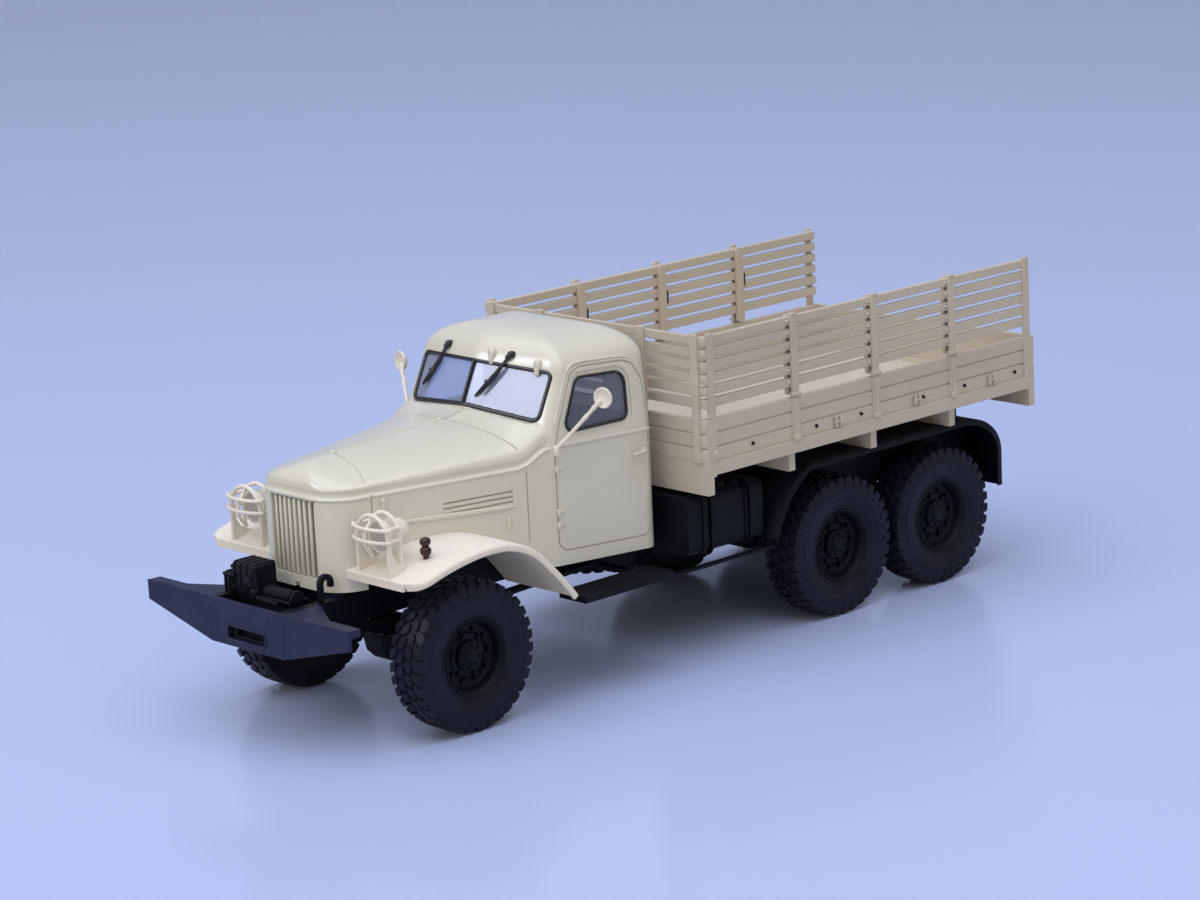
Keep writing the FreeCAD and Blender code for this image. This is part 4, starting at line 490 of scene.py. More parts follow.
# A solid after a row of joins and cuts, as one mesh.
def carve(name, base, cuts):
    body = newObject(name, cleanMesh(name, base, 1e-7))
    tools = []
    for number, (operation, shape) in enumerate(cuts):
        tool = newObject("%sTool%d" % (name, number), cleanMesh(name, shape, 1e-7))
        tools.append(tool)
        step = body.modifiers.new("cut%d" % number, "BOOLEAN")
        step.operation = operation
        step.solver = "EXACT"
        step.object = tool
    seen = bpy.context.evaluated_depsgraph_get()
    mesh = bpy.data.meshes.new_from_object(body.evaluated_get(seen), depsgraph=seen)
    mesh.name = name
    for obj in tools + [body]:
        old = obj.data
        bpy.data.objects.remove(obj)
        bpy.data.meshes.remove(old)
    return mesh


# Cab and bonnet

cab = dict(rear=6.3, front=34.9, shoulder=29.7, half=18.1, low=18.8, belt=41.0, eave=52.0, eaveHalf=17.0,
           corner=3.0, frontCorner=2.0, ridge=38.7, roofRise=6.3, roofCentre=19.0, fullness=2.9, crest=2.0,
           wall=0.9, floorLow=23.4, floorTop=24.3, tunnelHalf=11.5)
screen = dict(footX=33.0, footZ=46.3, lean=math.tan(math.radians(25.3)), sweep=math.tan(math.radians(12.2)),
              half=15.8, cornerLow=44.7, cornerTop=52.9, centreTop=53.8, round=1.3, bow=8.0)
bonnet = dict(rear=30.2, lift=2.3, liftFrom=36.6, liftReach=6.0, rearHalf=17.5, nose=69.6, noseHalf=9.6,
              noseRound=6.1, noseFrom=8.0, low=25.4, band=1.6, bandInset=0.25, rearTop=45.2, frontTop=43.4,
              frontDepth=5.5, rearFullness=2.05, frontFullness=1.2, wall=1.0, skirtLow=23.7, skirtFrom=64.0,
              cove=0.75, coveReach=4.5, tuck=0.04)
bonnetLip = [(-0.42, 0), (-0.26, 0.14), (-0.1, 0.23), (0.06, 0.23), (0.2, 0.12), (0.3, -0.12), (0.45, -0.34),
             (0.75, -0.42), (1.1, -0.36), (1.35, -0.22)]  # height over the ridge, growth of the plan


# Windscreen plane, leaning back with height and swept back to both sides.
def screenX(y, z):
    return screen["footX"] - (z - screen["footZ"]) * screen["lean"] - np.abs(y) * screen["sweep"]


# Outer face of the cab's left side: upright to the belt, leaning in above, round at the rear corner.
def sideY(x, z):
    lean = (cab["half"] - cab["eaveHalf"]) / (cab["eave"] - cab["belt"])
    behind = np.clip(cab["rear"] + cab["corner"] - np.asarray(x, float), 0, cab["corner"])
    drop = cab["corner"] - np.sqrt(cab["corner"] ** 2 - behind ** 2)
    return cab["half"] - np.clip(z - cab["belt"], 0, None) * lean - drop


# Plan of the cab at a height: rounded corners behind, a bowed screen in front, all drawn in by an inset.
def cabRing(z, half, planZ, inset):
    side = half - inset
    rear = cab["rear"] + inset
    corner, middle = screenX(side, planZ) - inset, screenX(0, planZ) - inset
    back, front = (max(cab[size] - inset, 0.5) for size in ("corner", "frontCorner"))
    plan = roundedPlan([(rear, -side), (corner, -side), (middle, 0), (corner, side), (rear, side)],
                       [back, front, screen["bow"], front, back], 12)
    return laid(plan, "z", z)


# Glasshouse and roof: rings lean in to the eave, then shrink as (1 - s^crest)^(1/fullness) up the dome.
def cabTop(inset):
    wall = [cabRing(z, cab["half"], cab["belt"], inset) for z in (cab["ridge"] - 0.6, cab["belt"])]
    for share in np.linspace(0, 1, 7)[1:]:
        z = cab["belt"] + share * (cab["eave"] - cab["belt"])
        wall.append(cabRing(z, cab["half"] + share * (cab["eaveHalf"] - cab["half"]), z, inset))
    eave = wall[-1]
    share = np.sin(np.linspace(0, math.pi / 2, 22)[1:-1]) ** 0.9
    scale = (1 - share ** cab["crest"]) ** (1 / cab["fullness"])
    centre = np.array([cab["roofCentre"], 0])
    dome = centre + (eave[None, :, :2] - centre) * scale[:, None, None]
    height = cab["eave"] + (cab["roofRise"] - inset) * share
    dome = np.dstack([dome, np.broadcast_to(height[:, None], dome.shape[:2])])
    return stack(np.concatenate([np.array(wall), dome]))


# Lower cab block between two heights, its plan narrowing from the shoulder to the bonnet.
def cabLow(inset, z0, z1):
    side, cowl = cab["half"] - inset, bonnet["rearHalf"] - inset
    rear, front = cab["rear"] + inset, cab["front"] - inset
    bend = max(cab["corner"] - inset, 0.5)
    plan = roundedPlan([(rear, -side), (cab["shoulder"], -side), (front, -cowl), (front, cowl),
                        (cab["shoulder"], side), (rear, side)], [bend, 6, 0, 0, 6, bend], 12)
    return pushed(plan, "z", (z0, z1))


# Share of the way from the cab's front to the nose, kept within 0 and 1.
def alongBonnet(x):
    return np.clip((x - cab["front"]) / (bonnet["nose"] - cab["front"]), 0, 1)


# Half width: straight to the nose, and behind the cab's front face along the cab's own narrowing side.
def bonnetHalf(x):
    cowl = np.clip((cab["front"] - np.asarray(x, float)) / (cab["front"] - cab["shoulder"]), 0, 1)
    return (bonnet["rearHalf"] + alongBonnet(x) * (bonnet["noseHalf"] - bonnet["rearHalf"])
            + cowl * (cab["half"] - bonnet["rearHalf"] - bonnet["tuck"]))


# Points on the bonnet's left side at places along and heights.
def onBonnet(x, z):
    x = np.asarray(x, float)
    return np.column_stack([x, bonnetHalf(x), np.broadcast_to(z, x.shape)])


# Rise of the lid's edge to the belt, a smooth step over the last stretch before the door.
def cowlLift(x):
    t = np.clip((bonnet["liftFrom"] - np.asarray(x, float)) / bonnet["liftReach"], 0, 1)
    return bonnet["lift"] * t * t * (3 - 2 * t)


# Plan of the bonnet: straight sides that close in to a rounded nose, grown outwards by an amount.
def bonnetPlan(grow, rear):
    front = bonnet["nose"] + grow
    half = bonnet["noseHalf"] + grow
    sideX = np.linspace(max(rear, cab["front"]), front - bonnet["noseFrom"], 16)
    if rear < cab["front"]:
        sideX = np.concatenate([np.linspace(rear, cab["front"], 9)[:-1], sideX])
    sideY0 = bonnetHalf(sideX) + grow
    right = np.column_stack([sideX, -sideY0])
    nose = roundedPlan([(sideX[-1], -sideY0[-1]), (front, -half), (front, half), (sideX[-1], sideY0[-1])],
                       [0, bonnet["noseRound"] + grow, bonnet["noseRound"] + grow, 0], 14)[1:-1]
    middle = np.linspace(nose[14], nose[15], 9)[1:-1]
    nose = np.vstack([nose[:15], middle, nose[15:]])
    return np.vstack([right, nose, right[::-1] * (1, -1)])


# Height of the lid's middle: a straight line from the cowl to the nose.
def bonnetTop(x):
    slope = (bonnet["frontTop"] - bonnet["rearTop"]) / (bonnet["nose"] - cab["front"])
    return bonnet["rearTop"] + (x - cab["front"]) * slope


# Power of the lid's superellipse, falling evenly along the bonnet.
def lidFullness(x):
    return bonnet["rearFullness"] + alongBonnet(x) * (bonnet["frontFullness"] - bonnet["rearFullness"])


# Height of the lid at a place: a superellipse across the truck whose fullness falls towards the nose.
def lidZ(x, y):
    n = lidFullness(x)
    base = cab["ridge"] + bonnet["band"]
    half = bonnetHalf(x) - bonnet["bandInset"]
    share = np.clip(1 - (np.abs(y) / half) ** n, 0, 1) ** (1 / n)
    return base + share * (bonnetTop(x) - base)


# Upright sides, a rounded lip, a hollow band, then lid rings: at a share s of the rise the width goes as
# (1 - s^n)^(1/n), and the nose draws back by its depth times 1 - sqrt(1 - s^2).
def bonnetSolid(inset, rear, low):
    ridge = cab["ridge"]
    lip = [] if inset else [(ridge + rise, grow) for rise, grow in bonnetLip[1:]]
    start = (ridge, 0) if inset else (ridge + bonnetLip[0][0], 0)
    rings = []
    for z, grow in [(low, 0), start, *lip, (ridge + bonnet["band"], -bonnet["bandInset"])]:
        plan = bonnetPlan(grow - inset, rear)
        lift = cowlLift(plan[:, 0]) if z > ridge - 1 and not inset else 0
        rings.append(laid(plan, "z", z + lift))
    plan = bonnetPlan(-bonnet["bandInset"] - inset, rear)
    base = ridge + bonnet["band"]
    share = np.sin(np.linspace(0, math.pi / 2, 26)[1:-1])[:, None]
    pull = bonnet["frontDepth"] / (bonnet["nose"] - rear) * (1 - np.sqrt(1 - share ** 2))
    x = rear + (plan[None, :, 0] - rear) * (1 - pull)
    n = lidFullness(plan[None, :, 0])
    y = plan[None, :, 1] * (1 - share ** n) ** (1 / n)
    z = base + share * (bonnetTop(x) - inset - base)
    if not inset:
        gap = x - screenX(y, z)
        z = z + bonnet["cove"] * np.clip(1 - gap / bonnet["coveReach"], 0, 1) ** 2 * share
        z = z + cowlLift(x) * (1 - share ** 2)
    lid = np.dstack([x, y, z])
    return stack(np.concatenate([np.array(rings), lid]))


# A leaf of a (y, z) outline that follows the swept windscreen, some way in front of it.
def screenLeaf(plan, out=0.0):
    return laid(plan, "x", screenX(plan[:, 0], plan[:, 1]) + out)


# A leaf of an (x, z) outline that follows the cab's left side, some way outside it.
def sideLeaf(plan, out=0.0):
    return laid(plan, "y", sideY(plan[:, 0], plan[:, 1]) + out)


# Front view of the windscreen opening as (y, z): edges slope evenly from the middle to the corners.
def screenPlan(inset, corner, steps=10):
    half = screen["half"] - inset
    lowSlope = (screen["footZ"] - screen["cornerLow"]) / screen["half"]
    topSlope = (screen["centreTop"] - screen["cornerTop"]) / screen["half"]
    low, top = screen["footZ"] + inset, screen["centreTop"] - inset
    return roundedPlan([(-half, low - half * lowSlope), (0, low), (half, low - half * lowSlope),
                        (half, top - half * topSlope), (0, top), (-half, top - half * topSlope)],
                       [corner, 0, corner, corner, 0, corner], steps)


sideWindow = dict(corners=((27.2, 42.7), (23.0, 51.5), (12.0, 50.8), (12.3, 42.5)),
                  rounds=(1.6, 1.7, 2.4, 1.6))
doorLine = [(29.3, 40.8), (29.3, 24.6), (27.9, 23.5), (9.7, 22.25), (8.15, 23.5), (8.15, 44.0), (8.6, 48.6),
            (10.4, 51.6), (12.6, 52.4), (22.0, 53.0), (24.0, 52.3), (25.4, 49.6), (28.5, 43.0)]
doorRounds = [1.2, 1.5, 0, 0, 1.5, 4, 2.5, 2.0, 1.0, 1.0, 1.2, 2.0, 1.5]


# Side window as (x, z), each corner moved out along its bisector by growth over the sine of half its angle.
def windowPlan(grow, steps=10):
    corners = np.array(sideWindow["corners"], float)
    before, after = (unit(np.roll(corners, step, 0) - corners) for step in (1, -1))
    half = np.arccos((before * after).sum(1)) / 2
    moved = corners - unit(before + after) * (grow / np.sin(half))[:, None]
    return roundedPlan(moved, [r + grow for r in sideWindow["rounds"]], steps)


cuts = dict(
    door=dict(half=0.135, depth=0.36), lid=dict(half=0.12, depth=0.24), tool=0.8,
    noseSeam=(60.8, 2.2, bonnetHalf(63.0) - 0.75), rearSeam=(37.6, -1.6, 16.3),
    slits=(35.28, 34.43, 33.58), slitEnds=(37.8, 50.2), slit=(0.35, -0.14, 0.14),
    seams=((35.15, 38.1), (62.6, 38.9)), seamLow=26.4, seam=(0.12, -0.28, 0.6),
    sill=((4.0, 10.0), (38.0, 10.0), (38.0, 21.7), (6.3, 19.7), (4.0, 19.6)), sillHalf=20.0, deep=10.0,
    screen=(-6.0, 1.4), window=(-4.0, 1.5), rebate=(-0.28, 1.5), rebateGrow=0.85,
    rear=(6.5, 43.5, 50.0), rearRound=1.2, rearX=(4.5, 8.6), hollowFrom=60.0,
    engine=(30.0, bonnet["skirtFrom"], -20, 20, 20.0, bonnet["low"]),
    tunnel=(5.0, 35.9, -cab["tunnelHalf"], cab["tunnelHalf"], 10.0, cab["floorLow"]),
    grille=(66.5, 71.0, -5.5, 5.5, 25.6, 38.3), chin=(66.0, 71.0, -0.55, 0.55, 22.0, 24.5))
rearPlan = roundedPlan(box(*cuts["rear"]), [cuts["rearRound"]] * 4, 8)


# Square cutter carried round an (x, z) line on the cab's side.
def sideGroove(path):
    size = cuts["door"]
    return sweepAlong(sideLeaf(evenly(path, 260, True)), box(size["half"], -size["depth"], cuts["tool"]),
                      (0, 1, 0), True)


# Square cutter across the lid: it starts at x in the middle and goes on by a bow times the share squared.
def lidGroove(x, bow, half):
    size = cuts["lid"]
    t = np.linspace(-1, 1, 80)
    along, across = x + bow * t ** 2, t * half
    return sweepAlong(np.column_stack([along, across, lidZ(along, across)]),
                      box(size["half"], -size["depth"], cuts["tool"]))


# Cab and bonnet as one: bonnet opened below, joined with cab and roof, hollowed, then windows and seams cut.
def makeCab():
    along = np.linspace(*cuts["slitEnds"], 8)
    slits = [sweepAlong(onBonnet(along, z), box(*cuts["slit"])) for z in cuts["slits"]]
    seams = []
    for x, top in cuts["seams"]:
        upright = np.column_stack([np.full(30, x), np.linspace(cuts["seamLow"], top, 30)])
        seams.append(sweepAlong(laid(upright, "y", bonnetHalf(x)), box(*cuts["seam"]), (0, 1, 0)))
    inner = bonnetPlan(-bonnet["wall"], cuts["hollowFrom"])
    hollow = pushed(inner, "z", (bonnet["skirtLow"] - 1, bonnet["low"] + 2))
    opened = [slab(*cuts["engine"]), bonnetSolid(bonnet["wall"], cab["front"] + 0.01, 12.0), hollow]
    joined = [cabLow(0, cab["low"], cab["ridge"] + 0.4), cabTop(0)]
    cleared = [cabTop(cab["wall"]), cabLow(cab["wall"], cab["floorTop"], cab["ridge"]),
               cabLow(cab["wall"], cuts["deep"], cab["floorLow"]), slab(*cuts["tunnel"]),
               pushed(cuts["sill"], "y", (-cuts["sillHalf"], cuts["sillHalf"])),
               between(screenLeaf, evenly(screenPlan(0, screen["round"]), 120, True), cuts["screen"]),
               bothSides(between(sideLeaf, windowPlan(0), cuts["window"])),
               bothSides(between(sideLeaf, windowPlan(cuts["rebateGrow"]), cuts["rebate"])),
               pushed(rearPlan, "x", cuts["rearX"]), slab(*cuts["grille"]),
               bothSides(sideGroove(roundedPlan(doorLine, doorRounds, 8))), bothSides(gather(seams)),
               lidGroove(*cuts["noseSeam"]), lidGroove(*cuts["rearSeam"]), bothSides(gather(slits)),
               slab(*cuts["chin"])]
    steps = [("DIFFERENCE", opened), ("UNION", joined), ("DIFFERENCE", cleared)]
    steps = [(operation, shape) for operation, shapes in steps for shape in shapes]
    mesh = carve("cabBody", bonnetSolid(0, bonnet["rear"], bonnet["skirtLow"]), steps)
    return finishPiece("cabBody", mesh, "cab_paint", ["cab_shell"], 32.0)


cabBody = makeCab()
print("cab body", len(cabBody.data.polygons))


# Wheels

tyre = dict(radius=12.4, lugs=34, rows=((0.16, 1.66, 0.80, 0.0), (1.9, 3.62, 0.76, 0.45)), taper=0.86,
            sweep=1.5, sweepPower=1.3, sink=0.15, crown=0.34, crownPower=4, round=0.22, steps=96,
            levels=((0.0, 1.05), (0.85, 1.0), (1.0, 0.92)),
            base=([0, 2.5, 3.1, 3.42, 3.75], [11.85, 11.7, 11.4, 11.0, 10.3]))
wallProfile = [(0.0, 12.02), (1.4, 12.0), (2.5, 11.92), (3.05, 11.76), (3.4, 11.45), (3.56, 10.7),
               (3.62, 9.75), (3.68, 9.45), (3.68, 9.3), (3.62, 9.2), (3.58, 8.5), (3.45, 7.8),
               (3.28, 7.25), (3.22, 7.05), (3.34, 6.95), (3.36, 6.75), (3.2, 6.5), (3.05, 6.2), (3.0, 6.0)]


# Casing turned from its wall section, with an inner and a shoulder row of slanting blocks each side.
# A block's outline lies in (along, across); its way round the wheel grows as a power of across.
def makeTyreShape():
    outer = np.array(wallProfile)
    section = np.vstack([outer[::-1] * (-1, 1), outer[1:], outer[-1:] * (-1, 1)])
    shapes = [lathe(section, (0, 0, 0), "y", tyre["steps"])]
    pitch = 2 * math.pi * tyre["radius"] / tyre["lugs"]
    edge = tyre["rows"][-1][1]
    for inner, far, share, phase in tyre["rows"]:
        half = pitch * share / 2
        near = half * tyre["taper"]
        corners = [(-near, inner), (near, inner), (half, far), (-half, far)]
        outline = roundedPlan(corners, [tyre["round"]] * 4, 2)
        outline = evenly(outline, 14, closed=True)
        centre = outline.mean(0)
        levels = []
        for rise, grow in tyre["levels"]:
            along, across = (centre + (outline - centre) * grow).T
            low = np.interp(across, *tyre["base"]) - tyre["sink"]
            high = tyre["radius"] - tyre["crown"] * (across / edge) ** tyre["crownPower"]
            shift = tyre["sweep"] * (across / edge) ** tyre["sweepPower"]
            levels.append(np.column_stack([along + shift, across, low + (high - low) * rise]))
        block = np.array(levels)
        for row in (1, -1):
            for number in range(tyre["lugs"]):
                turn = (number + phase + (0.0 if row > 0 else 0.5)) * 2 * math.pi / tyre["lugs"]
                angle = turn + block[..., 0] / tyre["radius"]
                points = np.stack([block[..., 2] * np.sin(angle), row * block[..., 1],
                                   block[..., 2] * np.cos(angle)], -1)
                shapes.append(stack(points))
    return gather(shapes)


rim = dict(holes=10, holeRadius=0.44, holeCircle=4.35, nuts=(6, 3.25, 0.42, 1.2, 1.75),
           bolts=(8, 1.85, 0.3, 2.05, 2.42), turn=0.2)
brakeDrum = [(-0.3, 0), (-0.3, 4.9), (-0.1, 5.05), (0.1, 4.9), (0.14, 0)]
rimProfile = [(3.25, 6.47), (3.4, 6.4), (3.42, 6.22), (3.2, 6.0), (2.95, 5.7), (2.3, 5.45), (1.6, 5.35),
              (1.2, 5.2), (1.02, 4.9), (0.95, 4.4), (0.98, 3.9), (1.12, 3.62), (1.3, 3.5), (1.34, 2.6),
              (1.34, 1.0), (0.62, 1.0), (0.6, 2.6), (0.32, 3.8), (0.3, 5.1), (-0.4, 5.45), (-2.4, 5.55),
              (-2.9, 5.8), (-3.2, 6.2), (-3.25, 6.47), (-3.1, 6.4), (-2.9, 6.02), (2.9, 6.02), (3.1, 6.4),
              (3.25, 6.47)]
hubProfile = [(-1.4, 0.0), (-1.4, 1.9), (0.2, 2.35), (1.2, 2.55), (1.9, 2.5), (2.08, 2.42), (2.16, 2.25),
              (2.14, 1.5), (2.2, 1.32), (2.42, 1.25), (2.55, 1.05), (2.6, 0.7), (2.6, 0.0)]


# Six-sided nut about (x, z), from y0 to y1, its edge chamfered over the last 0.3 of its height.
def hexNut(place, radius, y0, y1):
    t = np.linspace(0, 2 * math.pi, 6, endpoint=False)
    ring = np.column_stack([place[0] + radius * np.cos(t), np.zeros(6), place[1] + radius * np.sin(t)])
    core = np.array([place[0], 0, place[1]])
    shoulder = y0 + 0.7 * (y1 - y0)
    top = core + (ring - core) * 0.8 + (0, y1, 0)
    return stack(np.array([ring + (0, y0, 0), ring + (0, shoulder, 0), top]))


# Barrel, flanges and dish turned in one, the dish's ring of holes cut through, a bolted hub in front.
def makeRimShape():
    places = laid(circle(rim["holeCircle"], rim["holes"]), "y", 0.0)
    rods = [drum(-0.5, 2.2, rim["holeRadius"], place, "y", 14) for place in places]
    mesh = carve("rimShape", lathe(rimProfile, (0, 0, 0), "y", 72), [("DIFFERENCE", gather(rods))])
    points = np.zeros(len(mesh.vertices) * 3)
    mesh.vertices.foreach_get("co", points)
    faces = [list(face.vertices) for face in mesh.polygons]
    bpy.data.meshes.remove(mesh)
    shapes = [(points.reshape(-1, 3) / mm, faces), lathe(hubProfile, (0, 0, 0), "y", 40),
              lathe(brakeDrum, (0, 0, 0), "y", 40)]
    for count, reach, size, y0, y1 in (rim["nuts"], rim["bolts"]):
        for angle in np.linspace(rim["turn"], rim["turn"] + 2 * math.pi, count, endpoint=False):
            shapes.append(hexNut((reach * math.cos(angle), reach * math.sin(angle)), size, y0, y1))
    return gather(shapes)


tyreShape, rimShape = makeTyreShape(), makeRimShape()
wheelKinds = (("tyre", tyreShape, "tyre_rubber"), ("rim", rimShape, "chassis_black"))
wheels = dict(rows={"front": 53.5, "middle": -31.7, "rear": -57.8}, half=20.4, height=12.4,
              spare=(-6.3, -14.3, 13.45))
for row, x in wheels["rows"].items():
    for side, sign in (("left", 1), ("right", -1)):
        place = np.array([x, wheels["half"] * sign, wheels["height"]])
        ends = row + "_" + side
        for kind, shape, slotName in wheelKinds:
            points, faces = shape if sign > 0 else flipY(shape)
            putPiece(kind + row.capitalize() + side.capitalize(), (points + place, faces), slotName,
                     [kind + "_" + ends], body="wheel_" + ends)
for kind, (points, faces), slotName in wheelKinds:
    flat = np.column_stack([points[:, 0], points[:, 2], -points[:, 1]])  # a quarter turn about X
    putPiece("spare" + kind.capitalize(), (flat + wheels["spare"], faces), slotName, ["spare_" + kind])
print("wheels", len(tyreShape[1]), len(rimShape[1]))


# Fenders

fender = dict(inner=9.6, outer=26.6, skin=0.8, drop=1.3, edge=0.45, roll=0.55, cornerRound=3.0, cornerPower=8,
              steps=64, rib=0.28, ribIn=0.5, ribSpan=slice(6, 52), lip=(-0.35, 0.25, 0.2, 0.05),
              crown=((67.2, 27.4), (60.5, 29.3), (53.5, 30.4), (47.5, 30.2), (42.0, 28.0), (37.5, 23.8),
                     (34.9, 20.9), (33.2, 18.8)))


# A rolled section carried along the crown line; the front outer corner is drawn in on a quarter ellipse.
def makeFender():
    crown = evenly(curveThrough(fender["crown"], 200), fender["steps"])
    ahead = unit(np.gradient(crown, axis=0))
    up = np.column_stack([-ahead[:, 1], ahead[:, 0]])
    up *= np.sign(up[:, 1:])
    skin, drop, edge = fender["skin"], fender["drop"], fender["edge"]
    out, inn = fender["outer"], fender["inner"]
    t = np.linspace(0, math.pi / 2, 6)
    section = [(inn, 0.0)] + [(y, 0.0) for y in np.linspace(inn + 2, out - 3.4, 8)]
    roll = fender["roll"]
    section += [(out - edge - roll + roll * math.sin(a) + edge * math.sin(a),
                 -(edge + 0.1) * (1 - math.cos(a))) for a in t]
    section += [(out, -drop + 0.3), (out - 0.06, -drop + 0.08), (out - 0.25, -drop),
                (out - skin + 0.2, -drop), (out - skin, -drop + 0.2), (out - skin, -skin)]
    section += [(y, -skin) for y in np.linspace(out - 3.0, inn, 8)]
    section = np.array(section)
    front = crown[0, 0]
    corner = fender["cornerRound"]
    inset = np.clip(corner - (front - crown[:, 0]), 0, corner)
    pull = corner - np.sqrt(corner ** 2 - inset ** 2)
    share = np.clip((section[:, 0] - inn) / (out - inn), 0, 1) ** fender["cornerPower"]
    y = section[None, :, 0] - pull[:, None] * share[None]
    grid = np.dstack([crown[:, None, 0] + up[:, None, 0] * section[None, :, 1], y,
                      crown[:, None, 1] + up[:, None, 1] * section[None, :, 1]])
    back, fore, short, under = fender["lip"]
    lip = slab(front + back, front + fore, inn, out - corner - short, crown[0, 1] - drop, crown[0, 1] - under)
    rib = wire(laid(crown[fender["ribSpan"]] + (0, 0.02), "y", inn + fender["ribIn"]), fender["rib"])
    return gather([stack(grid), lip, rib])


fenderShape = makeFender()
putPiece("fenderLeft", fenderShape, "body_plastic", ["fender_left"], 50)
putPiece("fenderRight", flipY(fenderShape), "body_plastic", ["fender_right"], 50)


# Head lamps and their guards

lamp = dict(x=65.2, y=15.9, z=33.4, guardX=66.7, guardRadius=4.1, bar=0.36, bows=(35.3, 33.3), rearX=64.2,
            bowBulge=1.65, bowPast=0.75, mastFoot=30.6, hoopFeet=(27.4, 28.4), footBack=2.6, thin=0.85,
            plinth=(-0.5, 0.35, 0.6, 26.7, 27.7), cheekHalf=0.22)
lampFoot = [(26.9, 0.0), (27.2, 1.5), (29.3, 1.25), (29.8, 0.8), (31.4, 0.75), (31.4, 0.0)]
lampCheek = [(66.95, 27.0), (66.95, 33.6), (66.3, 33.6), (66.1, 31.2), (65.3, 29.8), (63.6, 28.9),
             (62.3, 28.5), (62.1, 28.0), (62.3, 27.2)]
lampShell = [(-0.35, 0.0), (-0.75, 0.9), (-0.7, 1.7), (-0.3, 2.15), (0.0, 2.3), (0.1, 2.38), (0.16, 2.55),
             (0.1, 2.7), (-0.1, 2.78), (-0.5, 2.74), (-0.75, 2.62), (-1.6, 2.6), (-3.2, 2.42), (-4.3, 2.15),
             (-4.8, 1.7), (-5.0, 0.9), (-5.0, 0.0)]
lensShell = [(0.12, 2.32), (0.42, 1.9), (0.66, 1.2), (0.78, 0.0), (0.55, 0.0), (0.45, 1.2), (0.22, 1.9),
             (0.0, 2.22), (0.12, 2.32)]


# Turned barrel with rim and reflector on a waisted foot; hoops, bows and bars of round wire. A bow bulges as
# (1 - share^2)^0.7 across, the mast as the sine of its height to the power 0.8.
def makeLamp():
    x, y, z, bar = (lamp[size] for size in ("x", "y", "z", "bar"))
    near, far, thin = lamp["rearX"], lamp["guardX"], bar * lamp["thin"]
    radius = lamp["guardRadius"] - bar
    shapes = [lathe(lampShell, (x, y, z), "x", 40), lathe(lampFoot, (x - lamp["footBack"], y, 0), "z", 24)]
    turn = np.linspace(0, math.pi, 25)
    arch = np.column_stack([y - radius * np.cos(turn), z + radius * np.sin(turn)])
    for hoopX, foot in zip((far, near), lamp["hoopFeet"]):
        legs = [np.linspace((y + sign * radius, foot), (y + sign * radius, z), 8)[:-1] for sign in (-1, 1)]
        hoop = laid(np.vstack([legs[0], arch, legs[1][::-1]]), "x", hoopX)
        shapes.append(wire(hoop, bar, 8, (1, 0, 0)))
    across = np.linspace(-1, 1, 21)
    reach = across * (radius + lamp["bowPast"])
    for height in lamp["bows"]:
        bow = np.column_stack([far + lamp["bowBulge"] * (1 - across ** 2) ** 0.7, y + reach])
        shapes.append(wire(laid(bow, "z", height), bar * 0.9))
        for side in (y - radius, y + radius):
            shapes.append(rod((near, side, height), (far + 0.1, side, height), 4, thin))
    rise = np.linspace(0, 1, 13)
    bulge = lamp["bowBulge"] * np.sin(math.pi * np.clip(rise * 1.15, 0, 1)) ** 0.8
    mast = np.column_stack([far + bulge, lamp["mastFoot"] + rise * (z + radius - lamp["mastFoot"])])
    shapes.append(wire(laid(mast, "y", y), thin, 8, (0, 1, 0)))
    shapes.append(rod((near, y, z + radius), (far, y, z + radius), 4, thin, 8, (0, 1, 0)))
    back, front, past, low, high = lamp["plinth"]
    shapes.append(slab(far + back, far + front, y - radius - past, y + radius + past, low, high))
    half = lamp["cheekHalf"]
    shapes += [pushed(lampCheek, "y", (side - half, side + half)) for side in (y - radius, y + radius)]
    return gather(shapes)


putPiece("headLamps", bothSides(makeLamp()), "body_plastic", ["headlamps"], 50)
lensShape = lathe(lensShell, (lamp["x"], lamp["y"], lamp["z"]), "x", 40)
putPiece("lampLenses", bothSides(lensShape), "clear_glass", ["lamp_lenses"], 50, look="lensPlastic")


# Marker lamps

marker = dict(x=59.8, y=20.4, low=29.2)
markerProfile = [(0.0, 0.0), (0.0, 0.5), (0.55, 0.42), (0.75, 0.62), (1.1, 0.88), (1.45, 0.94), (1.8, 0.88),
                 (2.1, 0.6), (2.2, 0.5), (2.35, 0.62), (2.65, 0.86), (3.0, 0.92), (3.35, 0.82), (3.6, 0.5),
                 (3.7, 0.0)]
markerShape = lathe(markerProfile, (marker["x"], marker["y"], marker["low"]), "z", 28)
putPiece("markerPair", bothSides(markerShape), "marker_maroon", ["marker_lamps"], 60)


# Grille

grilleBars = dict(count=9, half=5.5, low=25.6, high=38.3, width=0.62, back=66.9, front=69.5, root=0.36,
                  bow=0.35, tuck=0.5, gap=0.03, middle=(30.9, 31.6), tie=(-0.4, 0.35), tieHigh=0.9)


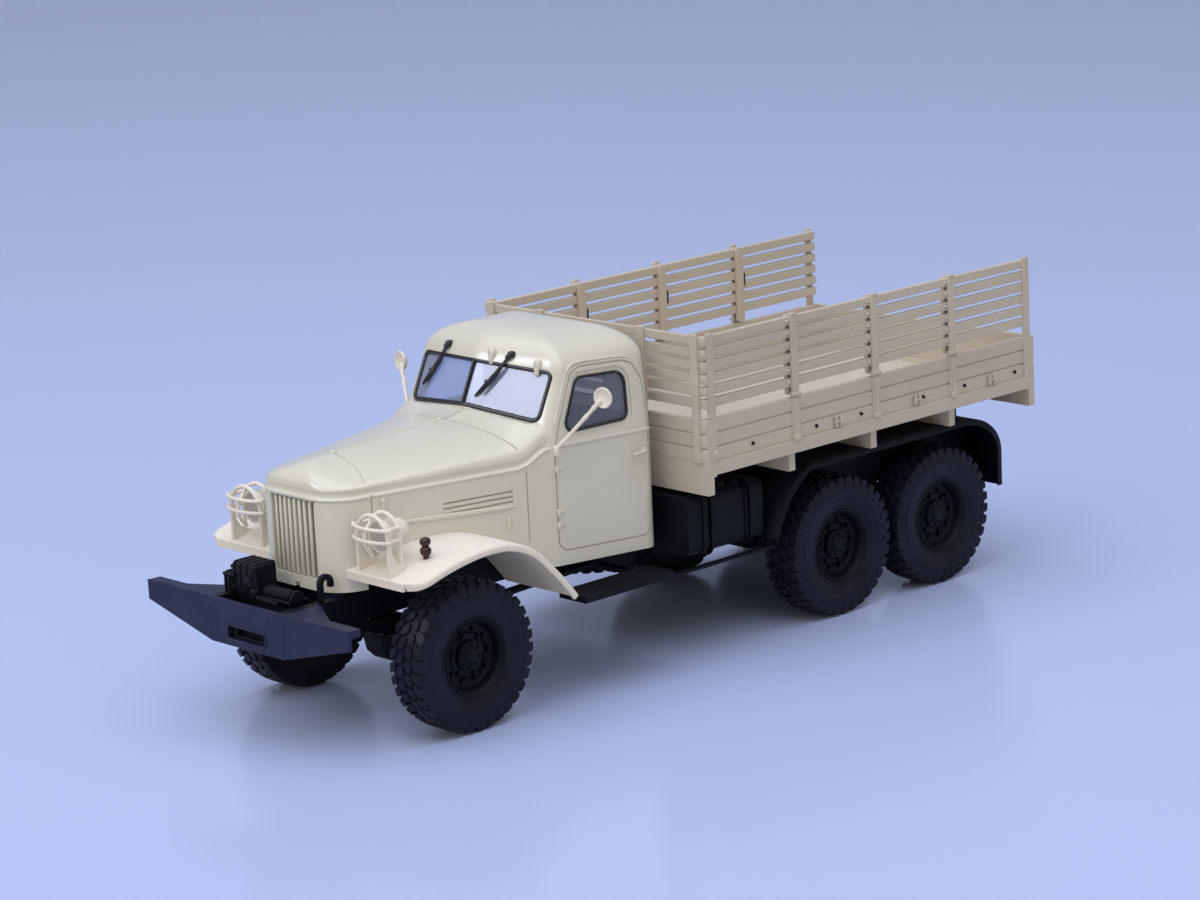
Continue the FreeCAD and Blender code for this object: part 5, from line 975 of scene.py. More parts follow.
# Upright bars with round noses, leaning back by the square of their place across; three cross bars behind.
def makeGrille():
    g = grilleBars
    pitch = 2 * g["half"] / g["count"]
    turn = np.linspace(-math.pi / 2, math.pi / 2, 9)
    tip = g["width"] / 2
    nose = np.column_stack([g["front"] - tip + tip * np.cos(turn), tip * np.sin(turn)])
    plan = np.vstack([[(g["back"], -g["width"] * g["root"])], nose, [(g["back"], g["width"] * g["root"])]])
    low, high = g["low"] + g["gap"], g["high"] - g["gap"]
    shapes = []
    for number in range(g["count"]):
        y = -g["half"] + pitch * (number + 0.5)
        lean = g["bow"] * (y / g["half"]) ** 2
        levels = ((low, g["tuck"]), (g["low"] + 0.4, 0.0), (g["high"] - 0.4, 0.0), (high, g["tuck"]))
        shapes.append(stack(np.array([laid(plan + (-lean - tuck, y), "z", z) for z, tuck in levels])))
    for z0, z1 in ((low, g["low"] + g["tieHigh"]), g["middle"], (g["high"] - g["tieHigh"], high)):
        shapes.append(slab(g["back"] + g["tie"][0], g["back"] + g["tie"][1], -g["half"] + g["gap"],
                           g["half"] - g["gap"], z0, z1))
    return gather(shapes)


# The bars' finish darkens their sides behind the noses as painted shade.
putPiece("grilleBars", makeGrille(), "cab_paint", ["grille"], 50, look="grillePaintShaded")

shadeCooler = dict(half=6.4, fins=27, front=65.75, fin=0.14, back=65.1, low=24.9, high=38.6)


# Cooler behind the bars: a plate whose front is a row of fins, each one turn of a cosine. Its dark finish is
# painted shade, a dark backing that stands in for the shadow deep in the grille's gaps.
def makeShadeCooler():
    half = shadeCooler["half"]
    across = np.linspace(-half, half, shadeCooler["fins"] * 4 + 1)
    depth = shadeCooler["front"] + shadeCooler["fin"] * np.cos(across * 2 * math.pi / (2 * half / shadeCooler["fins"]))
    plan = np.vstack([np.column_stack([depth, across]), [(shadeCooler["back"], half), (shadeCooler["back"], -half)]])
    return pushed(plan, "z", (shadeCooler["low"], shadeCooler["high"]))


# Dark plate behind the bars as painted shade in the grille's gaps.
putPiece("shadeCooler", makeShadeCooler(), "interior_dark", (), 30)


# Windscreen, side and rear glass with their rubber

seal = dict(width=0.7, proud=0.32, post=0.45, postFlat=0.75, postGap=0.3, inner=0.26, rear=0.3, rearOut=0.15,
            sideGrow=-0.2, rearFit=(0.97, 1.0))
pane = dict(middle=(7.8, 49.5), postHalf=0.2, inset=0.45, round=0.9, topGap=0.55, footGap=0.1,
            screen=(-0.42, -0.12), side=(-0.3, -0.6), sideGrow=-0.15, rear=(0.3, 0.6), rearFit=(0.98, 1.0))


# Outer and inner rubber round the screen, and a post: sections carried on the screen's own plane.
def makeGasket():
    mid = seal["width"] / 2
    flat = circle(mid - 0.01, 12) * (1.0, seal["proud"] / mid)
    rings = [sweepAlong(screenLeaf(evenly(screenPlan(inset, screen["round"] - less), 160, True)), section,
                        (1, 0, 0), True)
             for inset, less, section in ((mid, 0.2, flat), (mid + 0.12, 0.3, circle(seal["inner"], 8)))]
    rise = np.linspace(screen["footZ"] + seal["postGap"], screen["centreTop"] - seal["postGap"], 12)
    post = screenLeaf(np.column_stack([np.zeros(12), rise]))
    return gather(rings + [sweepAlong(post, circle(seal["post"], 12, seal["postFlat"]), (0, 1, 0))])


putPiece("screenGasket", makeGasket(), "black_seal", ["windscreen_gasket"], 60)


# Points in the order of their angle about a pane's middle.
def inTurn(points, sign):
    y, z = pane["middle"]
    return points[np.argsort(np.arctan2(points[:, 1] - z, points[:, 0] - sign * y))]


# Two flat panes, one each side of the post: points of the opening put in order by their angle about a middle.
def makeScreenGlass():
    shapes = []
    for sign in (-1, 1):
        outline = screenPlan(pane["inset"], pane["round"])
        half = inTurn(outline[outline[:, 0] * sign > pane["postHalf"]], sign)
        inner = sign * pane["postHalf"]
        corners = [(inner, screen["footZ"] + pane["inset"] - pane["footGap"]),
                   (inner, screen["centreTop"] - pane["topGap"])]
        shapes.append(between(screenLeaf, inTurn(np.vstack([half, corners]), sign), pane["screen"]))
    return gather(shapes)


# Screen panes with the larger share of painted reflection.
putPiece("screenPanes", makeScreenGlass(), "clear_glass", ["windscreen_glass"], look="filmGlass")
sidePath = sideLeaf(evenly(windowPlan(seal["sideGrow"]), 140, True), seal["sideGrow"])
sideRubber = sweepAlong(sidePath, circle(seal["inner"], 10), (0, 1, 0), True)
rearPath = laid(evenly(rearPlan * seal["rearFit"], 90, True), "x", cab["rear"] + seal["rearOut"])
rearRubber = sweepAlong(rearPath, circle(seal["rear"], 10), (1, 0, 0), True)
putPiece("windowRubber", gather([bothSides(sideRubber), rearRubber]), "black_seal", ["window_seals"], 60)
rearPane = pushed(rearPlan * pane["rearFit"], "x", [cab["rear"] + out for out in pane["rear"]])
sidePanes = bothSides(between(sideLeaf, windowPlan(pane["sideGrow"]), pane["side"]))
putPiece("cabPanes", gather([sidePanes, rearPane]), "clear_glass", ["cab_glass"])
print("glass and rubber ready")


# Trim on the cab and bonnet

trim = dict(  # rows for pebbles say offset, reach, power, counts across and down
    louvres=(35.7, 34.85, 34.0), louvreFrom=50.6, louvreTo=37.4, bead=((57.9, 33.6), (37.0, 32.7)),
    blade=((-0.1, -0.26), (0.28, -0.34), (0.46, -0.24), (0.4, -0.04), (0.16, 0.26), (-0.1, 0.36)),
    latches=((60.7, 37.6), (38.8, 30.7)),
    latch=(((0, 0.1, 0), (0.42, 0.42, 0.5), 2.6, 12, 6), ((0, 0.12, -0.95), (0.3, 0.36, 0.85), 3.0, 12, 6)),
    hinges=((29.3, 30.1), (29.3, 28.0), (29.3, 37.4)),
    hingeLeaf=((-0.75, 0.02, 0), (0.75, 0.22, 0.5), 5, 12, 6),
    barrel=((-0.62, 0), (-0.62, 0.3), (-0.5, 0.38), (0.5, 0.38), (0.62, 0.3), (0.62, 0)), barrelOut=0.22,
    handle=(9.4, 36.7), boss=((-0.1, 0), (-0.1, 0.62), (0.18, 0.55), (0.3, 0.3), (0.3, 0)),
    grip=((0, 0.2, 0), (0, 0.62, 0), (0.35, 0.8, 0), (1.6, 0.82, -0.05), (3.1, 0.66, -0.15)),
    lock=((-0.1, 0), (-0.1, 0.3), (0.12, 0.24), (0.12, 0)), lockPlace=(0.3, 0, -1.9),
    gripBar=0.24, beadBar=0.46, belt=((29.0, 41.15), (7.6, 40.1)), beltBar=0.34, beltFlat=(0.55, 1.0),
    beltOut=0.02,
    rail=((28.6, 44.8), (25.9, 50.6), (24.6, 52.9), (22.6, 53.7), (18.0, 53.5), (12.8, 53.05), (10.4, 52.3),
          (8.9, 50.6)), railBar=0.22, railOut=-0.12, spineBar=0.17,
    screenHinges=((3.5, 54.0), (12.8, 52.9)),
    screenHinge=(((0.15, 0, 0.75), (0.6, 0.75, 0.95), 3.2, 14, 8),
                 ((0.5, 0, -0.25), (0.3, 0.5, 0.75), 3.2, 14, 8)),
    spine=(60.4, 37.9), knobs=(60.5, 38.0), knob=((0, 0, 0.02), (0.5, 0.55, 0.28), 3.0, 14, 8))


# Louvres are hooked sections, the bead a half round; both fade in and out as the sine of their length to the
# power 0.25.
def makeTrim():
    fade = np.sin(np.linspace(0, math.pi, 30)) ** 0.25
    fade[[0, -1]] = 0.06
    along = np.linspace(trim["louvreTo"], trim["louvreFrom"], 30)
    shapes = [sweepAlong(onBonnet(along, z), trim["blade"], scale=fade) for z in trim["louvres"]]
    (x0, z0), (x1, z1) = trim["bead"]
    bead = onBonnet(np.linspace(x1, x0, 30), np.linspace(z1, z0, 30))
    shapes.append(sweepAlong(bead, circle(trim["beadBar"], 12), scale=fade))
    side = cab["half"]
    for x, z in trim["latches"]:
        shapes += pebbles((x, float(bonnetHalf(x)), z), trim["latch"])
    for x, z in trim["hinges"]:
        shapes.append(lathe(trim["barrel"], (x, side + trim["barrelOut"], z), "z", 14))
        shapes += pebbles((x, side, z), [trim["hingeLeaf"]])
    handle = np.array([trim["handle"][0], side, trim["handle"][1]])
    shapes.append(lathe(trim["boss"], handle, "y", 18))
    shapes.append(wire(handle + trim["grip"], trim["gripBar"], 10, scale=[1, 1, 1.05, 1.15, 0.8]))
    shapes.append(lathe(trim["lock"], handle + trim["lockPlace"], "y", 12))
    belt = sideLeaf(np.linspace(*trim["belt"], 50), trim["beltOut"])
    shapes.append(sweepAlong(belt, circle(trim["beltBar"], 12) * trim["beltFlat"]))
    rail = sideLeaf(np.array(trim["rail"]), trim["railOut"])
    shapes.append(wire(curveThrough(rail, 60), trim["railBar"], 8, (0, 1, 0)))
    front = []
    for y, z in trim["screenHinges"]:
        front += pebbles((screenX(y, z), y, z), trim["screenHinge"])
    spine = np.linspace(*trim["spine"], 40)
    path = laid(np.column_stack([spine, lidZ(spine, 0.0)]), "y", 0.0)
    front.append(wire(path, trim["spineBar"], 8, (0, 1, 0)))
    for x in trim["knobs"]:
        front += pebbles((x, 0, float(lidZ(x, 0.0))), [trim["knob"]])
    return gather([bothSides(gather(shapes))] + front)


putPiece("cabTrim", makeTrim(), "cab_paint", (), 50)

wiper = dict(pivots=((27.9, 7.4, 54.9), (27.9, -8.2, 54.9)), tips=((31.9, 2.7, 48.3), (30.9, -12.7, 48.0)),
             knuckle=((0.0, 0.75), (0.75, 0.62, 0.62), 2.6, 14, 8),
             nut=((0.06, 1.15), (0.4, 0.42, 0.5), 2.4, 12, 6),
             clip=((0.68, 0.7), (0.3, 0.6, 0.5), 3.0, 12, 6), blades=(0.55, -0.5), bar=0.24,
             bladeFit=(1.0, 1.5), bladeFrom=0.36, bladeOut=0.48, armTo=0.72)


# Knuckle on the cab, a tapering arm, and two flat blades side by side over its lower part. Each point lies at
# a share of the way from pivot to tip and some way off the screen.
def makeWiper(pivot, tip):
    pivot, tip = np.array(pivot), np.array(tip)

    def at(share, out):
        place = pivot + (tip - pivot) * share
        place[0] = screenX(place[1], place[2]) + out
        return place

    shapes = [pebble(at(*place), *size) for place, *size in (wiper["knuckle"], wiper["nut"])]
    arm = np.array([at(s, 0.95 - 0.35 * s) for s in np.linspace(0.0, wiper["armTo"], 9)])
    shapes.append(wire(arm, wiper["bar"], 8, (1, 0, 0), scale=np.linspace(1.2, 0.8, 9)))
    blade = circle(wiper["bar"], 8) * wiper["bladeFit"]
    for shift in wiper["blades"]:
        path = np.array([at(s, wiper["bladeOut"]) + (0, shift, shift * 0.6)
                         for s in np.linspace(wiper["bladeFrom"], 1.0, 7)])
        shapes.append(sweepAlong(path, blade, (1, 0, 0), scale=[0.6, 1, 1, 1, 1, 1, 0.6]))
    place, *size = wiper["clip"]
    return gather(shapes + [pebble(at(*place), *size)])


wiperShapes = [makeWiper(pivot, tip) for pivot, tip in zip(wiper["pivots"], wiper["tips"])]
putPiece("wiperPair", gather(wiperShapes), "black_seal", ["wipers"], 60)

mirror = dict(foot=(29.1, 18.1, 40.5), head=(24.5, 25.0, 49.3), turn=12.0, bar=0.32,
              dish=((-0.75, 0.0), (-0.7, 0.9), (-0.45, 1.4), (-0.15, 1.68), (0.15, 1.75), (0.3, 1.68),
                    (0.3, 1.5), (0.12, 1.4), (0.08, 0.0)),
              socket=((-0.7, -0.15, -0.1), (0.42, 0.5, 0.6), 2.6, 12, 6),
              base=((0, 0.15, -0.1), (0.62, 0.55, 0.95), 3.0, 14, 8))


# Stepped arm of round bar from a foot on the cab to a dished head that looks a little outwards. The arm is
# thicker at its foot and over short lengths of its upper part.
def makeMirror():
    foot, head = np.array(mirror["foot"]), np.array(mirror["head"])
    angle = math.radians(mirror["turn"])
    points, faces = lathe(mirror["dish"], (0, 0, 0), "x", 36)
    turned = np.column_stack([points[:, 0] * math.cos(angle) - points[:, 1] * math.sin(angle),
                              points[:, 0] * math.sin(angle) + points[:, 1] * math.cos(angle), points[:, 2]])
    shares = [foot + (head - foot) * share for share in (0.3, 0.62, 0.9)]
    arm = curveThrough([foot + (0, 0.1, 0), foot + (-0.1, 0.6, 0.7), *shares, head + (-0.65, 0, 0)], 34)
    share = np.linspace(0, 1, 34)
    size = 1.0 + 0.35 * (np.abs((share * 9) % 1 - 0.5) < 0.16) * (share > 0.55) + 0.5 * (share < 0.06)
    return gather([(turned + head, faces), wire(arm, mirror["bar"], 10, (1, 0, 0), scale=size),
                   *pebbles(head, [mirror["socket"]]), *pebbles(foot, [mirror["base"]])])


putPiece("mirrorPair", bothSides(makeMirror()), "body_plastic", ["mirrors"], 60)
print("cab trim ready")


# Bumper, winch and hooks

plate = dict(front=80.5, rivets=((9.3, 21.2), (9.3, 19.8), (9.25, 18.5), (9.2, 17.3), (9.15, 16.3),
                                 (-9.3, 21.2), (-9.35, 19.6), (-9.4, 18.2), (-9.5, 16.9),
                                 (-4.9, 21.4), (-5.2, 19.7), (5.6, 21.3), (5.6, 15.9)), rivet=(0.24, 0.16),
             slot=(4.75, 16.75, 19.05), slotRound=0.4, strip=0.2, edgeHalf=25.2, edgeZ=22.98, edge=0.17)


# Turned rivet: full width at its foot, 0.8 of it at 0.6 of its height, 0.4 of it at the top.
def rivetShape(place, axis, radius, height):
    profile = [(-0.1, 0), (-0.1, radius), (0.02, radius), (height * 0.6, radius * 0.8),
               (height, radius * 0.4), (height, 0)]
    return lathe(profile, place, axis, 10)


# Rivet rows, a frame of half-round strip about the rope slot, and a strip along the top edge.
def makePlateTrim():
    shapes = [rivetShape((plate["front"], *place), "x", *plate["rivet"]) for place in plate["rivets"]]
    slot = laid(roundedPlan(box(*plate["slot"]), [plate["slotRound"]] * 4, 5), "x", plate["front"])
    shapes.append(sweepAlong(slot, circle(plate["strip"], 8), (1, 0, 0), True))
    half = plate["edgeHalf"]
    edge = np.column_stack([np.full(40, plate["front"] - 0.05), np.linspace(-half, half, 40)])
    shapes.append(wire(laid(edge, "z", plate["edgeZ"]), plate["edge"]))
    return gather(shapes)


putPiece("bumperTrim", makePlateTrim(), "bumper_slate", (), 50)


winch = dict(
    x=74.9, axis=23.8, barrel=0.95, barrelEnds=(-1.3, 6.6), flange=1.35, flanges=(-0.8, 6.0), rope=0.2,
    turns=15, ropeEnds=(-0.1, 5.8), ropeSink=0.8,
    blocks=(((0, -4.1, 25.6), (2.3, 3.1, 2.85), 9, 40, 20), ((-0.2, -8.6, 24.5), (2.1, 1.5, 1.75), 7, 32, 16),
            *(((0, y, 25.7), (2.48, 0.2, 2.88), 8, 20, 10) for y in np.linspace(-6.4, -1.8, 4)),
            *(((-0.2, y, 24.5), (2.25, 0.16, 1.88), 7, 20, 10) for y in (-9.3, -8.5, -7.7))),
    bosses=((((2.0, 0), (2.0, 1.15), (2.5, 1.1), (2.62, 0.8), (2.75, 0.5), (2.75, 0)), (-3.1, 25.4), 24),
            (((1.8, 0), (1.8, 0.8), (2.6, 0.75), (2.75, 0.4), (2.75, 0)), (-1.6, 24.0), 20)),
    ties=(-1.7, 1.7), tieEnds=((-1.2, 23.5), (6.9, 23.5)), tie=0.22,
    lever=((2.7, -7.3, 22.9), (2.75, -7.3, 24.6), (2.6, -7.25, 26.2)), leverBar=0.24,
    cross=((2.6, -8.7, 26.2), (2.6, -5.9, 26.2)), crossBar=0.3,
    link=((2.5, -0.6, 23.5), (2.7, 1.8, 23.45), (2.6, 4.6, 23.3)),
    slotBack=((78.3, 0, 18.0), (0.35, 7.8, 2.2), 12, 20, 12), rollerX=79.2,
    uprights=((-3.9, 3.9), 16.5, 19.4, 0.5, 16), levels=((16.9, 18.9), -4.4, 4.4, 0.32, 14),
    bolts=((-6.8, 27.6), (-1.5, 27.6), (-6.8, 24.2)), boltX=2.28, bolt=(0.34, 0.3))


# Stepped gear case of rounded blocks with ribs and a boss, a low drum with coiled rope between flanges,
# tie rods along it, and a clutch lever with a cross bar in front.
def makeWinch():
    w, x, axis = winch, winch["x"], winch["axis"]
    shapes = pebbles((x, 0, 0), w["blocks"])
    for profile, (y, z), steps in w["bosses"]:
        shapes.append(lathe(profile, (x, y, z), "x", steps))
    shapes.append(drum(*w["barrelEnds"], w["barrel"], (x, 0, axis), "y", 24))
    wide, narrow = w["flange"], w["flange"] - 0.1
    for y in w["flanges"]:
        rims = [(y, 0), (y, narrow), (y + 0.12, wide), (y + 0.4, wide), (y + 0.52, narrow), (y + 0.52, 0)]
        shapes.append(lathe(rims, (x, 0, axis), "y", 28))
    count = w["turns"] * 14
    t = np.linspace(0, w["turns"] * 2 * math.pi, count)
    reach = w["barrel"] + w["rope"] * w["ropeSink"]
    coil = np.column_stack([x + reach * np.cos(t), axis + reach * np.sin(t)])
    shapes.append(wire(laid(coil, "y", np.linspace(*w["ropeEnds"], count)), w["rope"], 6, (0, 1, 0)))
    for dx in w["ties"]:
        shapes.append(rod(*((x + dx, *end) for end in w["tieEnds"]), 4, w["tie"]))
    shapes.append(wire(np.add(w["lever"], (x, 0, 0)), w["leverBar"], 8, (0, 1, 0)))
    shapes.append(rod(*np.add(w["cross"], (x, 0, 0)), 4, w["crossBar"]))
    shapes.append(wire(np.add(w["link"], (x, 0, 0)), w["crossBar"], 8, scale=[1.2, 1.0, 0.8]))
    shapes.append(pebble(*w["slotBack"]))
    places, low, high, radius, steps = w["uprights"]
    shapes += [drum(low, high, radius, (w["rollerX"], y, 0), "z", steps) for y in places]
    places, low, high, radius, steps = w["levels"]
    shapes += [drum(low, high, radius, (w["rollerX"], 0, z), "y", steps) for z in places]
    shapes += [rivetShape((x + w["boltX"], y, z), "x", *w["bolt"]) for y, z in w["bolts"]]
    return gather(shapes)


putPiece("winchSet", makeWinch(), "chassis_black", ["winch"], 50)
softened("tow_hooks", "towHooks", 0.12, 2, 50)
print("bumper and winch ready")


# Bed fittings

bed = dict(
    side=26.9, posts=(-18.3, -38.3, -58.3), slatTop=55.6, pitch=2.12, slats=6, screwAt=(1.35, -0.5, -0.7),
    screw=((-0.4, 0), (-0.4, 0.27), (0.32, 0.27), (0.42, 0.18), (0.42, 0)),
    post=(((0, -0.15, 42.3), (1.15, 0.55, 0.32), 5, 14, 8), ((0, 0.02, 38.4), (0.5, 0.2, 3.3), 8, 14, 8),
          ((0, 0.05, 34.8), (0.8, 0.32, 0.62), 4, 14, 8), ((0, -0.2, 56.0), (0.72, 0.32, 0.25), 4, 14, 8),
          ((0, -1.6, 48.9), (0.85, 0.42, 6.9), 14, 16, 10)),
    strapRivets=(36.2, 38.6, 41.0), strapRivet=(0.2, 0.12),
    latches=(-28.4, -48.6, -68.4), latchZ=35.6, latchBar=(0.75, 0.25, 0.16),
    latch=[((dx, 0.05, 0), (0.24, 0.3, 0.95), 5, 12, 6) for dx in (-0.55, 0.55)],
    ends=(1.6, -78.4), endRivets=(32.0, 33.4), endRivet=(0.26, 0.2),
    corner=((1.3, 0, 35.4), (0.5, 0.35, 0.9), 4, 12, 6),
    tab=((-1.3, -1.55, 49.6), (0.26, 0.14, 1.25), 6, 12, 6), hooks=(-7.8, -23.3, -34.5, -50.5, -61.4, -75.0),
    hookZ=35.7, loop=(0.24, 0.22, 0.13), stem=((-0.65, 0), (-0.65, 0.26), (-0.42, 0.22), (-0.38, 0)))


# Screws at each slat beside the posts, straps on the boards, paired latch plates, corner irons.
def makeBedFittings():
    side = bed["side"]
    shapes = []
    for post in bed["posts"]:
        for number in range(bed["slats"]):
            along, out, down = bed["screwAt"]
            z = bed["slatTop"] - bed["pitch"] * number + down
            shapes.append(lathe(bed["screw"], (post + along, side + out, z), "y", 10))
        shapes += pebbles((post, side, 0), bed["post"])
        shapes += [rivetShape((post, side + 0.2, z), "y", *bed["strapRivet"]) for z in bed["strapRivets"]]
    for x in bed["latches"]:
        shapes += pebbles((x, side, bed["latchZ"]), bed["latch"])
        half, out, bar = bed["latchBar"]
        ends = ((x + reach, side + out, bed["latchZ"]) for reach in (-half, half))
        shapes.append(rod(*ends, 3, bar))
    for x in bed["ends"]:
        shapes += [rivetShape((x, side + 0.02, z), "y", *bed["endRivet"]) for z in bed["endRivets"]]
    shapes += pebbles((0, side, 0), [bed["corner"]])
    return bothSides(gather(shapes))


putPiece("bedFittings", makeBedFittings(), "bed_plastic", (), 50)


# A tab on each rack post, and rope hooks on the boards: a short stem with a loop of two thirds of a circle.
def makeBedHooks():
    shapes = []
    for post in bed["posts"]:
        shapes += pebbles((post, bed["side"], 0), [bed["tab"]])
    turn = np.linspace(-0.6, 3.6, 12)
    wide, high, bar = bed["loop"]
    for x in bed["hooks"]:
        y, z = bed["side"], bed["hookZ"]
        loop = np.column_stack([y - 0.25 + wide * np.sin(turn), z - high * np.cos(turn)])
        shapes.append(wire(laid(loop, "x", x), bar, 6, (1, 0, 0)))
        shapes.append(lathe(bed["stem"], (x, y, z), "y", 10))
    return bothSides(gather(shapes))


putPiece("bedHooks", makeBedHooks(), "chassis_black", (), 50)
print("bed fittings ready")


# Rear mudguards

guard = dict(front=-31.7, rear=-57.8, axle=12.4, radius=18.3, top=28.8, turnFrom=-63.0, back=-73.4,
             turnTo=21.5, low=15.0, flapFrom=18.0, frontLow=17.4, inner=16.15, outer=24.6, skin=0.45,
             lip=1.15, lipEdge=0.35, chamfer=0.15, clear=11.3, wallLow=16.0,
             wallEnds=(-14.9, -72.9), wall=0.4, under=0.3)


# A lipped sheet along a line: arc about the middle axle, level run, quarter ellipse, upright flap.
# The inner wall hangs from the sheet to the larger of its own low edge and a circle about each axle.
def makeGuard():
    g = guard
    middle = (g["inner"] + g["outer"]) / 2
    half = (g["outer"] - g["inner"]) / 2
    start = math.asin((g["frontLow"] - g["axle"]) / g["radius"])
    end = math.asin((g["top"] - g["axle"]) / g["radius"])
    turn = np.linspace(start, end, 22)
    arc = np.column_stack([g["front"] + g["radius"] * np.cos(turn), g["axle"] + g["radius"] * np.sin(turn)])
    bend = np.linspace(0, math.pi / 2, 18)
    ellipse = np.column_stack([g["turnFrom"] + (g["back"] - g["turnFrom"]) * np.sin(bend),
                               g["turnTo"] + (g["top"] - g["turnTo"]) * np.cos(bend)])
    level, flap = (arc[-1, 0] - 1.5, g["top"]), [(g["back"], g["flapFrom"]), (g["back"], g["low"])]
    line = np.vstack([arc, [level], ellipse, flap])
    edge = half - g["lipEdge"]
    section = [(0, -half), (0, half - g["chamfer"]), (g["chamfer"], half), (g["lip"], half), (g["lip"], edge),
               (g["skin"], edge), (g["skin"], -half)]
    sheet = sweepAlong(laid(line, "y", middle), section, (0, 1, 0))
    x = np.linspace(*g["wallEnds"], 80)
    roof = np.interp(-x, -line[:-2, 0], line[:-2, 1]) - g["under"]
    reach = np.minimum(np.abs(x - g["front"]), np.abs(x - g["rear"]))
    floor = g["axle"] + np.sqrt(np.maximum(g["clear"] ** 2 - reach ** 2, 0))
    foot = np.minimum(np.maximum(floor, g["wallLow"]), roof - 0.1)
    y0, y1 = g["inner"], g["inner"] + g["wall"]
    corners = ((y0, roof), (y1, roof), (y1, foot), (y0, foot))
    wall = np.stack([laid(np.column_stack([x, z]), "y", y) for y, z in corners], 1)
    return gather([sheet, stack(wall)])


putPiece("rearMudguards", bothSides(makeGuard()), nodeSlot["mudguards"], ["mudguards"], 50)
print("mudguards ready")


# Smaller gear below

for node, pieceName, width in (("exhaust", "exhaustPipe", 0.1), ("tail_lamps", "tailLamps", 0.15),
                               ("drive_shafts", "driveShafts", 0.1), ("axle_front", "frontAxle", 0.15),
                               ("axle_middle", "middleAxle", 0.15), ("axle_rear", "rearAxle", 0.15)):
    softened(node, pieceName, width, 2, 50)

under = dict(ribs=(19.4, 24.3, 7), ribEnds=(10.6, 29.8), ribZ=17.3, rib=0.18, straps=(-9.6, -0.4),
             tank=((12.5, 17.7), (23.1, 17.7), (23.1, 28.1), (12.5, 28.1)), tankRound=1.4,
             strap=(0.55, -0.14, 0.14), nut=(23.25, 19.6, 0.34, -0.1, 0.3), capPlace=(-5.0, 20.4, 0),
             cap=((28.0, 0), (28.0, 1.2), (28.35, 1.25), (28.7, 1.25), (28.85, 1.05), (28.9, 0)))


# Lengthwise ribs on the running boards, straps with bolts and a filler cap on the tanks.
def makeUnderTrim():
    x0, x1 = under["ribEnds"]
    shapes = [rod((x0, y, under["ribZ"]), (x1, y, under["ribZ"]), 4, under["rib"])
              for y in np.linspace(*under["ribs"])]
    y, z, *size = under["nut"]
    for x in under["straps"]:
        strap = laid(roundedPlan(under["tank"], [under["tankRound"]] * 4, 8), "x", x)
        shapes.append(sweepAlong(strap, box(*under["strap"]), (1, 0, 0), True))
        points, faces = hexNut((0, 0), *size)
        shapes.append((points + (x, y, z), faces))
    shapes.append(lathe(under["cap"], under["capPlace"], "z", 24))
    return bothSides(gather(shapes))


putPiece("underTrim", makeUnderTrim(), "chassis_black", (), 50)

driver = dict(hub=(24.4, 8.0, 40.2), ring=4.6, bar=0.34, tilt=30.0, foot=(31.4, 8.0, 28.6), rise=0.5,
              spoke=0.22, spokes=(1 / 2, 7 / 6, 11 / 6), column=0.5)


# Round rim and three spokes about a tilted axis, on a slim column.
def makeSteeringWheel():
    lean = math.radians(driver["tilt"])
    axis = np.array([-math.sin(lean), 0, math.cos(lean)])
    first, second = np.array([math.cos(lean), 0, math.sin(lean)]), np.array([0.0, 1.0, 0.0])
    hub, foot = np.array(driver["hub"]), np.array(driver["foot"])

    def onRing(t):  # a place on the rim at an angle
        return hub + axis * driver["rise"] + driver["ring"] * (np.cos(t) * first + np.sin(t) * second)

    turn = np.linspace(0, 2 * math.pi, 48, endpoint=False)[:, None]
    shapes = [wire(onRing(turn), driver["bar"], 10, axis, True)]
    shapes += [rod(hub, onRing(math.pi * share), 5, driver["spoke"], 8, axis) for share in driver["spokes"]]
    shapes.append(rod(foot, hub + axis * 0.4, 6, driver["column"], 12, (0, 1, 0)))
    shapes.append(pebble(hub + axis * 0.3, (0.9, 0.9, 0.6), 2.5, 16, 8))
    return gather(shapes)


putPiece("steeringWheel", makeSteeringWheel(), "interior_dark", ["steering_wheel"], 60)
print("smaller gear ready")


# Stage, light and camera

stageSize = dict(floorHalf=1.6, backDistance=1.5, backHeight=1.6, bend=0.5, turn=137.0)
floorLook = dict(tones=((0.508, 0.612, 0.965), (0.528, 0.627, 0.97)), gloss=(0.16, 0.22), specular=0.32,
                 bounce=(0.58, 0.60, 0.68))  # bounce: what the floor throws back on the truck


# Sweep: a level floor that bends up on a quarter circle into a wall behind the truck. The camera and gloss
# see its blue tones, and all other rays its bounce tone.
def makeStage():
    mesh = bpy.data.meshes.new("sweep")
    half, back, high, bend = (stageSize[size] for size in ("floorHalf", "backDistance", "backHeight", "bend"))
    turn = np.linspace(0, math.pi / 2, 24)
    run = np.concatenate([[-half * 2], [back - bend], back - bend + bend * np.sin(turn), [back]])
    rise = np.concatenate([[0.0], [0.0], bend * (1 - np.cos(turn)), [high]])
    across = np.linspace(-half * 2, half * 2, 3)
    angle = math.radians(stageSize["turn"])
    away, side = np.array([-math.sin(angle), math.cos(angle)]), np.array([math.cos(angle), math.sin(angle)])
    grid = run[:, None, None] * away + across[None, :, None] * side
    points, quads = patch(np.dstack([grid, np.repeat(rise[:, None], len(across), 1)]))
    mesh.from_pydata(points.tolist(), [], quads)
    mesh.shade_smooth()
    obj = newObject("sweep", mesh)
    mat, tree, shader, place = newMaterial("sweepPaper")
    rays = addNode(tree, "LightPath", {}, "Is Camera Ray").node.outputs
    seen = addNode(tree, "Math", {0: rays["Is Camera Ray"], 1: rays["Is Glossy Ray"]}, 0)
    seen.node.operation = "MAXIMUM"
    tones = ramp(tree, noise(tree, place, 2.0), (0.3, 0.7), floorLook["tones"])
    feed(tree, shader, {"Base Color": blend(tree, seen, floorLook["bounce"], tones),
                        "Roughness": spread(tree, noise(tree, place, 14), *floorLook["gloss"]),
                        "Specular IOR Level": floorLook["specular"]})
    mesh.materials.append(mat)
    return obj


floor = makeStage()

